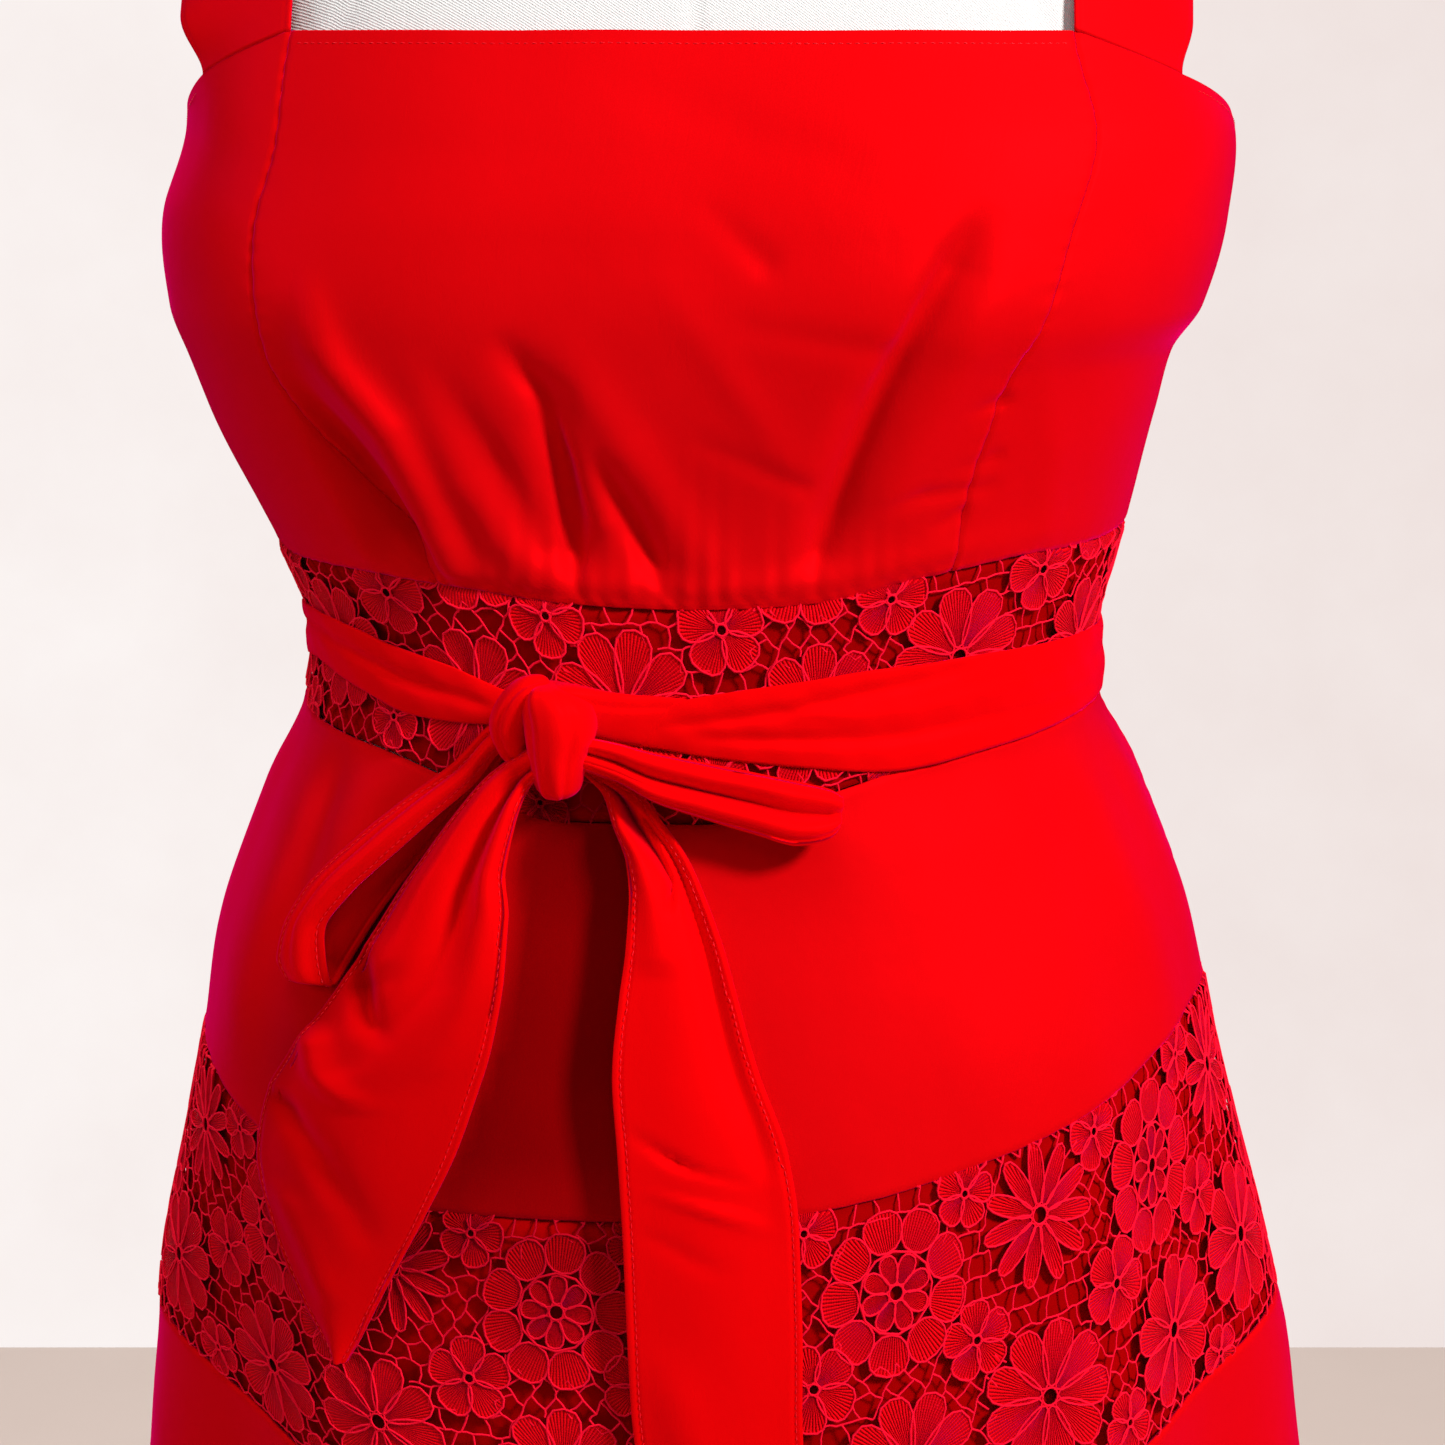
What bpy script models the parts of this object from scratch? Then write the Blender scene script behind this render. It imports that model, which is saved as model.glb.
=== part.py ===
"""Midi dress with two lace bands and a tied sash, worn by a limbless dress form on a stand.

Metres, +Z up. The dress faces -Y, and angles run round the figure from the centre front (0)
towards +X, so that 90 degrees is the side at +X and 180 degrees the centre back.
The origin is the centre of the stand's underside, on the floor.
"""

import math

import bmesh
import bpy
import numpy as np
from mathutils import Vector
from mathutils.geometry import delaunay_2d_cdt

# Levels above the floor

HEM = 0.324
NECKLINE = 1.300
BACK_NECKLINE = 1.258
FORM_FOOT = 0.765
FORM_TOP = 1.500

# Cloth and seams

CLOTH = 0.0012
LACE = 0.0010
LINING = 0.0010
SASH_CLOTH = 0.0016
SEAM_GAP = 0.0003
SEAM_HALF_TURN = 0.0009
SIDE = math.pi / 2
BACK = math.pi

# The cloth's outline, one row for each level: how far the middle leans to +X, the half width, the reach
# to the front and to the back, and how square the ring is (2 is an ellipse)

SECTIONS = np.array(
    [
        # level, lean, half_width, front, back, power
        (0.324, 0.008, 0.306, 0.266, 0.242, 2.0),
        (0.697, 0.007, 0.251, 0.212, 0.184, 2.05),
        (0.766, 0.006, 0.242, 0.204, 0.174, 2.1),
        (0.813, 0.003, 0.233, 0.199, 0.167, 2.15),
        (0.859, 0.002, 0.221, 0.193, 0.159, 2.2),
        (0.899, 0.001, 0.2115, 0.186, 0.151, 2.25),
        (0.948, 0.000, 0.2015, 0.172, 0.139, 2.3),
        (1.002, 0.000, 0.1805, 0.155, 0.119, 2.3),
        (1.037, -0.001, 0.1635, 0.146, 0.107, 2.3),
        (1.066, 0.000, 0.160, 0.142, 0.101, 2.3),
        (1.097, -0.002, 0.168, 0.142, 0.099, 2.35),
        (1.120, -0.004, 0.176, 0.144, 0.100, 2.4),
        (1.157, -0.0085, 0.188, 0.151, 0.103, 2.5),
        (1.180, -0.0100, 0.195, 0.154, 0.105, 2.5),
        (1.197, -0.0070, 0.2035, 0.155, 0.106, 2.5),
        (1.230, -0.0035, 0.2085, 0.150, 0.108, 2.5),
        (1.262, 0.0020, 0.2055, 0.139, 0.108, 2.5),
        (1.300, -0.003, 0.196, 0.120, 0.106, 2.5),
        (1.330, -0.003, 0.192, 0.106, 0.103, 2.5),
        (1.360, -0.002, 0.189, 0.092, 0.098, 2.45),
        (1.385, -0.001, 0.184, 0.081, 0.091, 2.4),
        (1.402, 0.000, 0.172, 0.073, 0.084, 2.35),
        (1.418, 0.000, 0.145, 0.067, 0.078, 2.3),
        (1.432, 0.000, 0.110, 0.062, 0.072, 2.2),
        (1.446, 0.000, 0.078, 0.058, 0.066, 2.1),
        (1.468, 0.000, 0.065, 0.054, 0.060, 2.0),
        (1.500, 0.000, 0.062, 0.052, 0.057, 2.0),
    ]
)

# Fullness over the bust, and the hollow between it and the waist

CUPS = np.array(
    [
        # angle, level, angle_spread, level_spread, rise
        (-41.0, 1.205, 15.0, 0.040, 0.005),
        (35.0, 1.205, 15.0, 0.040, 0.005),
        (-4.0, 1.140, 22.0, 0.035, -0.004),
    ]
)

# Folds that hang from the bust to the waist seam, as paths on the front seen from straight ahead. They
# flatten out over a short height above the seam

FOLD_FADE = 0.020
BODICE_FOLDS = np.array(
    [
        # fold, x, level, width, rise
        (0, -0.141, 1.215, 0.008, 0.0000),
        (0, -0.134, 1.190, 0.008, 0.0040),
        (0, -0.110, 1.161, 0.009, 0.0060),
        (0, -0.090, 1.100, 0.010, 0.0050),
        (1, -0.150, 1.183, 0.008, 0.0000),
        (1, -0.131, 1.150, 0.010, -0.0080),
        (1, -0.104, 1.104, 0.010, -0.0080),
        (2, -0.105, 1.191, 0.007, 0.0000),
        (2, -0.085, 1.142, 0.008, 0.0040),
        (2, -0.059, 1.102, 0.009, 0.0045),
        (3, -0.096, 1.188, 0.006, 0.0000),
        (3, -0.076, 1.150, 0.007, -0.0035),
        (3, -0.060, 1.118, 0.006, -0.0020),
        (4, -0.074, 1.197, 0.007, 0.0000),
        (4, -0.055, 1.172, 0.008, -0.0055),
        (4, -0.049, 1.129, 0.009, -0.0060),
        (4, -0.045, 1.103, 0.007, -0.0030),
        (5, -0.055, 1.200, 0.009, 0.0000),
        (5, -0.028, 1.154, 0.010, 0.0040),
        (5, -0.001, 1.115, 0.009, 0.0020),
        (6, -0.040, 1.155, 0.007, 0.0000),
        (6, -0.024, 1.125, 0.007, -0.0025),
        (6, -0.013, 1.102, 0.007, -0.0025),
        (7, 0.099, 1.242, 0.006, 0.0000),
        (7, 0.088, 1.219, 0.008, -0.0050),
        (7, 0.060, 1.170, 0.009, -0.0060),
        (7, 0.046, 1.130, 0.008, -0.0050),
        (7, 0.040, 1.106, 0.007, -0.0020),
        (8, 0.108, 1.232, 0.011, 0.0000),
        (8, 0.090, 1.190, 0.011, 0.0025),
        (8, 0.066, 1.140, 0.011, 0.0020),
    ]
)

# Soft flutes of the skirt, which grow from the hips to the hem

FLUTE_TOP = 0.985
FLUTE_GROWTH = 1.25
FLUTES = np.array(
    [
        # angle, spread, rise_at_hem
        (-8.0, 12.0, -0.016),
        (14.0, 11.0, 0.014),
        (40.0, 10.0, 0.020),
        (57.0, 8.0, -0.022),
        (74.0, 9.0, 0.018),
        (97.0, 11.0, -0.016),
        (118.0, 10.0, 0.017),
        (140.0, 11.0, -0.015),
        (163.0, 11.0, 0.018),
        (187.0, 12.0, -0.014),
        (209.0, 10.0, 0.018),
        (230.0, 11.0, -0.017),
        (252.0, 10.0, 0.015),
        (272.0, 9.0, -0.014),
        (289.0, 9.0, 0.018),
        (306.0, 8.0, -0.016),
        (325.0, 11.0, 0.015),
    ]
)

# Levels of the seams round the figure

SEAMS = np.array(
    [
        # angle, bodice_foot, yoke_top, yoke_foot, lace_foot
        (-180, 1.106, 1.038, 0.905, 0.785),
        (-90, 1.103, 1.041, 0.905, 0.791),
        (-70, 1.103, 1.038, 0.898, 0.788),
        (-50, 1.104, 1.036, 0.881, 0.772),
        (-35, 1.102, 1.029, 0.876, 0.758),
        (-20, 1.098, 1.018, 0.877, 0.750),
        (0, 1.096, 1.018, 0.878, 0.748),
        (18, 1.098, 1.028, 0.885, 0.752),
        (33, 1.106, 1.037, 0.895, 0.762),
        (50, 1.111, 1.041, 0.907, 0.772),
        (72, 1.111, 1.042, 0.923, 0.788),
        (90, 1.110, 1.042, 0.922, 0.790),
        (180, 1.106, 1.038, 0.905, 0.785),
    ]
)
BODICE_FOOT, YOKE_TOP, YOKE_FOOT, LACE_FOOT = range(4)

# The bodice's upper edge, as a drop below the front neckline. It is level in front, slopes down under
# each strap and runs level again round the back

TOP_EDGE = np.array(
    [
        # angle, drop
        (-180.0, 0.042),
        (-104.0, 0.042),
        (-90.0, 0.038),
        (-71.5, 0.016),
        (-57.8, 0.000),
        (54.6, 0.000),
        (67.5, 0.016),
        (90.0, 0.038),
        (104.0, 0.042),
        (180.0, 0.042),
    ]
)

# Straps, left then right: the two edges' angles on the front edge, and their distances from the middle
# on the shoulder

STRAPS = {
    # name: inner_angle, outer_angle, inner_x, outer_x
    "strap_left": (-57.8, -71.5, -0.139, -0.181),
    "strap_right": (54.6, 67.5, 0.138, 0.180),
}

# The curved seams beside the bodice's front panel, from its foot (0) to its top (1)

PRINCESS_SEAMS = np.array(
    [
        # height_share, left_angle, right_angle
        (0.00, -37.0, 36.5),
        (0.15, -44.0, 38.0),
        (0.35, -49.5, 41.0),
        (0.60, -53.5, 45.5),
        (0.85, -56.5, 51.5),
        (1.00, -57.8, 54.6),
    ]
)

# How far the form lies inside the cloth: close at the shoulders, free inside the skirt

FORM_EASE = np.array(
    [
        # level, ease
        (0.765, 0.045),
        (0.850, 0.026),
        (0.920, 0.013),
        (1.000, 0.008),
        (1.050, 0.0075),
        (1.120, 0.0090),
        (1.200, 0.0080),
        (1.262, 0.0045),
        (1.330, 0.0034),
        (1.390, 0.0042),
        (1.500, 0.0034),
    ]
)

# The sash where it goes round the waist: middle level and height at each angle, from the knot's right
# side round the back to its left side

SASH_BAND = np.array(
    [
        # angle, level, height
        (-17.0, 1.0515, 0.0115),
        (-10.0, 1.0525, 0.0130),
        (0.0, 1.0535, 0.0222),
        (14.0, 1.0537, 0.0315),
        (28.0, 1.0540, 0.0386),
        (44.0, 1.0570, 0.0360),
        (62.0, 1.0580, 0.0315),
        (90.0, 1.0560, 0.0270),
        (180.0, 1.0520, 0.0300),
        (268.0, 1.0620, 0.0240),
        (293.0, 1.0711, 0.0222),
        (305.0, 1.0685, 0.0243),
        (315.0, 1.0634, 0.0245),
        (323.0, 1.0610, 0.0213),
        (331.0, 1.0576, 0.0140),
        (341.0, 1.0530, 0.0110),
    ]
)
SASH_STAND = 0.0010
SASH_FULLNESS = 0.0022

# The knot, as level rings about its own middle

KNOT_ANGLE = math.radians(-19.8)
KNOT_LEVEL = 1.0485
KNOT_STAND = 0.0155
KNOT_SIDES = 14
KNOT_RINGS = np.array(
    [
        # rise, shift, half_width, half_depth
        (-0.0210, 0.0000, 0.0050, 0.0055),
        (-0.0175, 0.0000, 0.0085, 0.0095),
        (-0.0070, 0.0000, 0.0108, 0.0125),
        (0.0040, 0.0010, 0.0135, 0.0130),
        (0.0120, 0.0000, 0.0140, 0.0120),
        (0.0180, -0.0025, 0.0110, 0.0095),
        (0.0212, -0.0045, 0.0050, 0.0055),
    ]
)

# Loops and tails of the bow. Each row gives the cloth's two edges, and how far it stands off the dress

RIBBONS = {
    "sash_loop_left": [
        # angle_1, level_1, angle_2, level_2, stand
        (-22.0, 1.0640, -21.0, 1.0500, 0.0125),
        (-28.6, 1.0530, -26.9, 1.0430, 0.0125),
        (-33.0, 1.0380, -30.4, 1.0290, 0.0130),
        (-39.8, 1.0192, -35.0, 1.0150, 0.0135),
        (-46.1, 1.0001, -39.9, 0.9990, 0.0140),
        (-51.0, 0.9805, -44.3, 0.9830, 0.0135),
        (-52.8, 0.9648, -46.6, 0.9700, 0.0125),
        (-53.0, 0.9551, -46.0, 0.9607, 0.0110),
        (-51.6, 0.9487, -44.6, 0.9511, 0.0085),
        (-53.5, 0.9560, -43.8, 0.9588, 0.0062),
        (-53.5, 0.9661, -42.0, 0.9742, 0.0055),
        (-51.7, 0.9793, -39.8, 0.9879, 0.0055),
        (-46.9, 0.9985, -36.8, 1.0035, 0.0055),
        (-40.5, 1.0178, -33.9, 1.0150, 0.0058),
        (-33.5, 1.0355, -30.3, 1.0270, 0.0062),
        (-28.2, 1.0479, -26.9, 1.0409, 0.0065),
        (-21.0, 1.0540, -21.0, 1.0450, 0.0065),
    ],
    "sash_loop_right": [
        (-17.5, 1.0506, -15.5, 1.0383, 0.0190),
        (-12.2, 1.0485, -10.9, 1.0337, 0.0190),
        (-6.8, 1.0451, -6.1, 1.0262, 0.0190),
        (-0.1, 1.0417, 0.5, 1.0200, 0.0190),
        (6.7, 1.0382, 6.5, 1.0148, 0.0185),
        (13.1, 1.0338, 12.2, 1.0101, 0.0180),
        (17.3, 1.0299, 16.1, 1.0118, 0.0165),
        (18.7, 1.0269, 17.6, 1.0151, 0.0138),
        (17.8, 1.0286, 16.6, 1.0138, 0.0108),
        (13.5, 1.0317, 12.7, 1.0129, 0.0098),
        (6.8, 1.0352, 6.9, 1.0183, 0.0096),
        (-0.1, 1.0390, 0.6, 1.0227, 0.0096),
        (-7.0, 1.0424, -6.1, 1.0281, 0.0096),
        (-12.6, 1.0449, -11.1, 1.0342, 0.0096),
        (-18.1, 1.0462, -16.2, 1.0393, 0.0096),
    ],
    "sash_tail_left": [
        (-21.5, 1.0467, -20.0, 1.0390, 0.0190),
        (-26.6, 1.0370, -22.2, 1.0293, 0.0195),
        (-31.7, 1.0168, -23.3, 1.0158, 0.0200),
        (-36.1, 0.9940, -23.8, 1.0001, 0.0200),
        (-39.7, 0.9692, -22.8, 0.9826, 0.0190),
        (-43.5, 0.9465, -22.7, 0.9638, 0.0165),
        (-48.9, 0.9233, -23.5, 0.9396, 0.0125),
        (-53.0, 0.9020, -24.9, 0.9218, 0.0095),
        (-53.8, 0.8810, -26.7, 0.9020, 0.0085),
        (-50.6, 0.8587, -29.7, 0.8783, 0.0080),
        (-45.6, 0.8371, -33.7, 0.8486, 0.0075),
        (-40.8, 0.8196, -37.0, 0.8230, 0.0070),
        (-39.3, 0.8145, -38.2, 0.8150, 0.0070),
    ],
    "sash_tail_right": [
        (-17.4, 1.0390, -15.3, 1.0360, 0.0050),
        (-13.4, 1.0282, -8.5, 1.0290, 0.0045),
        (-12.0, 1.0176, -5.2, 1.0179, 0.0045),
        (-10.0, 1.0037, -2.0, 1.0057, 0.0055),
        (-9.4, 0.9897, 0.5, 0.9906, 0.0065),
        (-9.5, 0.9741, 2.6, 0.9743, 0.0065),
        (-10.0, 0.9569, 4.2, 0.9572, 0.0065),
        (-10.4, 0.9327, 6.3, 0.9331, 0.0065),
        (-9.6, 0.9031, 9.1, 0.9036, 0.0065),
        (-9.1, 0.8774, 9.8, 0.8783, 0.0065),
        (-8.7, 0.8398, 9.7, 0.8412, 0.0065),
        (-8.2, 0.7962, 9.2, 0.7984, 0.0065),
        (-7.8, 0.7730, 8.9, 0.7680, 0.0065),
        (-3.8, 0.7430, 6.2, 0.7370, 0.0065),
        (0.4, 0.7200, 1.6, 0.7190, 0.0065),
    ],
}
RIBBON_COLUMNS = 4
RIBBON_SHAPES = {
    # name: rows, ridges across, half height of the ridges
    "sash_loop_left": (26, 1, 0.0016),
    "sash_loop_right": (22, 2, 0.0014),
    "sash_tail_left": (18, 1, 0.0020),
    "sash_tail_right": (18, 1, 0.0012),
}

# The lace. Flowers repeat along the band in tiles, and a net of six-sided gaps fills the ground between

TILE = 0.128
NET_CELL = 0.0088
NET_BAR = 0.0017
NET_JITTER = 0.0015
NET_EDGE = 0.0022
NET_CLEARANCE = 0.0035
FLOWERS = np.array(
    [
        # along, up, radius
        (0.030, 0.092, 0.0290),
        (0.088, 0.037, 0.0270),
        (0.092, 0.101, 0.0250),
        (0.031, 0.030, 0.0260),
        (0.061, 0.066, 0.0140),
        (0.125, 0.064, 0.0160),
        (0.122, 0.014, 0.0120),
        (0.061, 0.118, 0.0120),
        (0.060, 0.005, 0.0105),
        (0.124, 0.119, 0.0130),
    ]
)

# The stand

BASE_RADIUS = 0.190
BASE_THICKNESS = 0.014
BASE_EDGE = 0.004
HUB_RADIUS = 0.032
HUB_TOP = 0.050
POLE_RADIUS = 0.0125
NECK_CAP_HEIGHT = 0.014

COLOURS = {
    # slot: red, green, blue, roughness, metallic
    "red_sateen": (0.80, 0.005, 0.010, 0.55, 0.0),
    "red_lace": (0.78, 0.004, 0.020, 0.70, 0.0),
    "red_lining": (0.42, 0.003, 0.006, 0.75, 0.0),
    "canvas": (0.80, 0.79, 0.75, 0.90, 0.0),
    "painted_steel": (0.80, 0.80, 0.78, 0.35, 0.6),
}


def material(slot):
    """The named finish, made the first time that it is asked for."""
    found = bpy.data.materials.get(slot)
    if found:
        return found
    red, green, blue, roughness, metallic = COLOURS[slot]
    made = bpy.data.materials.new(slot)
    made.use_nodes = True
    shader = made.node_tree.nodes["Principled BSDF"]
    shader.inputs["Base Color"].default_value = (red, green, blue, 1.0)
    shader.inputs["Roughness"].default_value = roughness
    shader.inputs["Metallic"].default_value = metallic
    made.diffuse_color = (red, green, blue, 1.0)
    return made


def solid(name, points, faces, slot):
    """A mesh object from points and faces, its faces turned outwards and shaded smooth."""
    mesh = bpy.data.meshes.new(name)
    mesh.from_pydata([tuple(p) for p in points], [], [tuple(f) for f in faces])
    body = bmesh.new()
    body.from_mesh(mesh)
    bmesh.ops.recalc_face_normals(body, faces=body.faces)
    body.to_mesh(mesh)
    body.free()
    mesh.materials.append(material(slot))
    mesh.shade_smooth()
    mesh.set_sharp_from_angle(angle=math.radians(50.0))
    made = bpy.data.objects.new(name, mesh)
    bpy.context.scene.collection.objects.link(made)
    return made


# Tables read between their rows


def read_smooth(table, at):
    """Every column but the first, read at values of the first along curves that never overshoot a row."""
    knots = table[:, 0]
    steps = np.diff(knots)
    rates = np.diff(table[:, 1:], axis=0) / steps[:, None]
    before, after = rates[:-1], rates[1:]
    product = before * after
    total = np.where(product > 0, before + after, 1.0)
    slopes = np.vstack(
        [rates[:1], np.where(product > 0, 2 * product / total, 0.0), rates[-1:]]
    )
    at = np.clip(np.asarray(at, float), knots[0], knots[-1])
    row = np.clip(np.searchsorted(knots, at, side="right") - 1, 0, len(steps) - 1)
    t = ((at - knots[row]) / steps[row])[..., None]
    step = steps[row][..., None]
    start, end = table[row, 1:], table[row + 1, 1:]
    return (
        (2 * t**3 - 3 * t**2 + 1) * start
        + (t**3 - 2 * t**2 + t) * step * slopes[row]
        + (3 * t**2 - 2 * t**3) * end
        + (t**3 - t**2) * step * slopes[row + 1]
    )


def turn_between(angle, degrees):
    """Signed turn from a table's angle in degrees to an angle in radians, in degrees within half a turn."""
    return (np.degrees(angle) - degrees + 180.0) % 360.0 - 180.0


# The dress's surface


def plain_ring(angle, level):
    """Centre shift and radius of the cloth before folds: a squared ellipse, deeper in front than behind."""
    lean, half_width, front, back, power = np.moveaxis(
        read_smooth(SECTIONS, level), -1, 0
    )
    depth = np.where(np.cos(angle) >= 0, front, back)
    reach = np.abs(np.sin(angle) / half_width) ** power
    reach = reach + np.abs(np.cos(angle) / depth) ** power
    return lean, reach ** (-1.0 / power)


def fullness(angle, level):
    """How far the bust pushes the cloth out along the radius."""
    out = np.zeros(angle.shape)
    for centre, height, angle_spread, level_spread, rise in CUPS:
        away = (turn_between(angle, centre) / angle_spread) ** 2
        out = out + rise * np.exp(-away - ((level - height) / level_spread) ** 2)
    return out


def along_path(path, x, level):
    """Push of one fold: the nearest stretch's rise, fading like a bell away from the path."""
    push = np.zeros(x.shape)
    for start, end in zip(path[:-1], path[1:]):
        run, fall = end[:2] - start[:2]
        share = ((x - start[0]) * run + (level - start[1]) * fall) / (run**2 + fall**2)
        share = np.clip(share, 0.0, 1.0)
        away = (x - start[0] - share * run) ** 2 + (level - start[1] - share * fall) ** 2
        width = start[2] + (end[2] - start[2]) * share
        rise = start[3] + (end[3] - start[3]) * share
        here = rise * np.exp(-away / width**2)
        push = np.where(np.abs(here) > np.abs(push), here, push)
    return push


def folds(angle, level, x):
    """How far bodice folds and skirt flutes push the cloth out along the radius."""
    out = np.zeros(angle.shape)
    above_seam = np.clip((level - seam(BODICE_FOOT)(angle)) / FOLD_FADE, 0.0, 1.0)
    above_seam = above_seam**2 * (3 - 2 * above_seam)
    for fold in np.unique(BODICE_FOLDS[:, 0]):
        path = BODICE_FOLDS[BODICE_FOLDS[:, 0] == fold, 1:]
        out = out + np.where(np.cos(angle) > 0, above_seam, 0.0) * along_path(path, x, level)
    growth = np.clip((FLUTE_TOP - level) / (FLUTE_TOP - HEM), 0.0, None)
    growth = growth**FLUTE_GROWTH
    for centre, spread, rise in FLUTES:
        out = out + growth * rise * np.exp(-((turn_between(angle, centre) / spread) ** 2))
    return out


def cloth_point(angle, level, fold_share=1.0):
    """Points of the dress's outer surface at an angle round the figure and a level above the floor."""
    angle, level = np.broadcast_arrays(
        np.asarray(angle, float), np.asarray(level, float)
    )
    lean, radius = plain_ring(angle, level)
    x = lean + radius * np.sin(angle)
    radius = radius + fullness(angle, level) + fold_share * folds(angle, level, x)
    return np.stack(
        [lean + radius * np.sin(angle), -radius * np.cos(angle), level], axis=-1
    )


def unit(vectors):
    """Vectors brought to length one."""
    return vectors / np.linalg.norm(vectors, axis=-1, keepdims=True)


def cloth_normal(angle, level, fold_share=1.0):
    """Outward directions of the dress's surface."""
    turn, rise = 0.004, 0.001
    angle, level = np.asarray(angle, float), np.asarray(level, float)
    round_it = cloth_point(angle + turn, level, fold_share) - cloth_point(
        angle - turn, level, fold_share
    )
    up = cloth_point(angle, level + rise, fold_share) - cloth_point(
        angle, level - rise, fold_share
    )
    return unit(np.cross(round_it, up))


def off_cloth(angle, level, stand):
    """Points that stand off the dress's surface by a distance."""
    normal = cloth_normal(angle, level)
    return cloth_point(angle, level) + normal * np.asarray(stand)[..., None]


# Seam lines


def seam(column, drop=0.0):
    """One seam's level at each angle, as a function."""
    return lambda angle: read_smooth(SEAMS, turn_between(angle, 0.0))[..., column] - drop


def hem(angle):
    """The hem is level."""
    return HEM + 0.0 * angle


def top_edge(angle):
    """Level of the bodice's upper edge."""
    return NECKLINE - np.interp(turn_between(angle, 0.0), TOP_EDGE[:, 0], TOP_EDGE[:, 1])


def princess_seam(side):
    """A curved front seam's angle at each share of the bodice's height; side is 0 left or 1 right."""
    return lambda share: np.radians(read_smooth(PRINCESS_SEAMS, share)[..., side])


def straight_seam(angle):
    """A seam that runs straight up at one angle."""
    return lambda share: angle + 0.0 * share


# Walls of cloth


def shell(name, outer, inner, slot, closed=False):
    """One closed wall between two grids of points; closed joins the last column to the first."""
    rows, columns = outer.shape[:2]
    count = rows * columns
    index = np.arange(count).reshape(rows, columns)
    if closed:
        index = np.hstack([index, index[:, :1]])
    faces = []
    for r in range(rows - 1):
        for c in range(index.shape[1] - 1):
            quad = (index[r, c], index[r, c + 1], index[r + 1, c + 1], index[r + 1, c])
            faces.append(quad)
            faces.append(tuple(i + count for i in quad[::-1]))
    rims = [index[0], index[-1][::-1]]
    if not closed:
        rims += [index[:, -1], index[::-1, 0]]
    for rim in rims:
        for a, b in zip(rim[:-1], rim[1:]):
            faces.append((b, a, a + count, b + count))
    points = np.vstack([outer.reshape(-1, 3), inner.reshape(-1, 3)])
    return solid(name, points, faces, slot)


def panel(name, left, right, foot, top, columns, rows):
    """A wall of cloth on the dress between two upright seams and two level ones."""
    across = np.linspace(0.0, 1.0, columns + 1)[None, :]
    share = np.linspace(0.0, 1.0, rows + 1)[:, None]
    start = left(share) + SEAM_HALF_TURN
    angle = start + (right(share) - SEAM_HALF_TURN - start) * across
    low, high = foot(angle) + SEAM_GAP / 2, top(angle) - SEAM_GAP / 2
    level = low + (high - low) * share
    outer = cloth_point(angle, level)
    inner = outer - cloth_normal(angle, level) * CLOTH
    return shell(name, outer, inner, "red_sateen")


def lining(name, top, foot, spans, columns=36):
    """A tube behind the lace. Each span is a share of the height from the top and a depth."""
    angle = np.linspace(0.0, 2 * math.pi, columns, endpoint=False)[None, :]
    share, depth = spans[:, :1], spans[:, 1:]
    high, low = top(angle) - SEAM_GAP, foot(angle)
    level = high + (low - high) * share
    surface, normal = cloth_point(angle, level), cloth_normal(angle, level)
    outer = surface - normal * depth[..., None]
    inner = surface - normal * (depth + LINING)[..., None]
    return shell(name, outer, inner, "red_lining", closed=True)


# The lace


def net_corners(centre_along, centre_up):
    """Corners of one net gap: a hexagon whose corners wander a little, alike for neighbours."""
    turn = np.radians(30.0 + 60.0 * np.arange(6))
    along = centre_along + NET_CELL / math.sqrt(3) * np.cos(turn)
    up = centre_up + NET_CELL / math.sqrt(3) * np.sin(turn)
    a, b = along / NET_CELL, up / NET_CELL
    wander = np.stack(
        [np.sin(3.7 * a + 5.1 * b), np.sin(5.9 * a - 4.3 * b + 1.3)], axis=-1
    )
    return np.stack([along, up], axis=-1) + NET_JITTER * wander


def flower_discs(length, height, offset):
    """Every flower's middle and radius on a band of this size, tile after tile."""
    tiles = np.arange(-1, int(length / TILE) + 2) * TILE
    along = (tiles[:, None] + FLOWERS[None, :, 0] + offset).ravel()
    up = np.tile(FLOWERS[:, 1], len(tiles))
    radius = np.tile(FLOWERS[:, 2], len(tiles))
    near = (along > -radius) & (along < length + radius) & (up - radius < height)
    return along[near], up[near], radius[near]


def net_gaps(length, height, offset, most):
    """The gaps cut through a band of lace: hexagons clear of its flowers and edges, the most open first."""
    along, up, radius = flower_discs(length, height, offset)
    found = []
    for row in range(int(height / (NET_CELL * 0.866)) + 2):
        for step in range(int(length / NET_CELL) + 2):
            centre = np.array([(step + 0.5 * (row % 2)) * NET_CELL, row * NET_CELL * 0.866])
            corners = net_corners(*centre)
            middle = corners.mean(axis=0)
            low, high = corners.min(axis=0), corners.max(axis=0)
            if low.min() < NET_EDGE or high[0] > length - NET_EDGE or high[1] > height - NET_EDGE:
                continue
            clear = (np.hypot(along - middle[0], up - middle[1]) - radius).min()
            if clear < NET_CLEARANCE:
                continue
            size = np.hypot(*(corners - middle).T).mean()
            found.append((clear, middle + (corners - middle) * (1 - NET_BAR / 2 / size)))
    found.sort(key=lambda gap: -gap[0])
    return [corners for _, corners in found[:most]]


def inside_gap(point, corners):
    """Whether a point lies in a convex gap."""
    ahead = np.roll(corners, -1, axis=0) - corners
    to_point = point - corners
    side = ahead[:, 0] * to_point[:, 1] - ahead[:, 1] * to_point[:, 0]
    return bool((side > 0).all())


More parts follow.
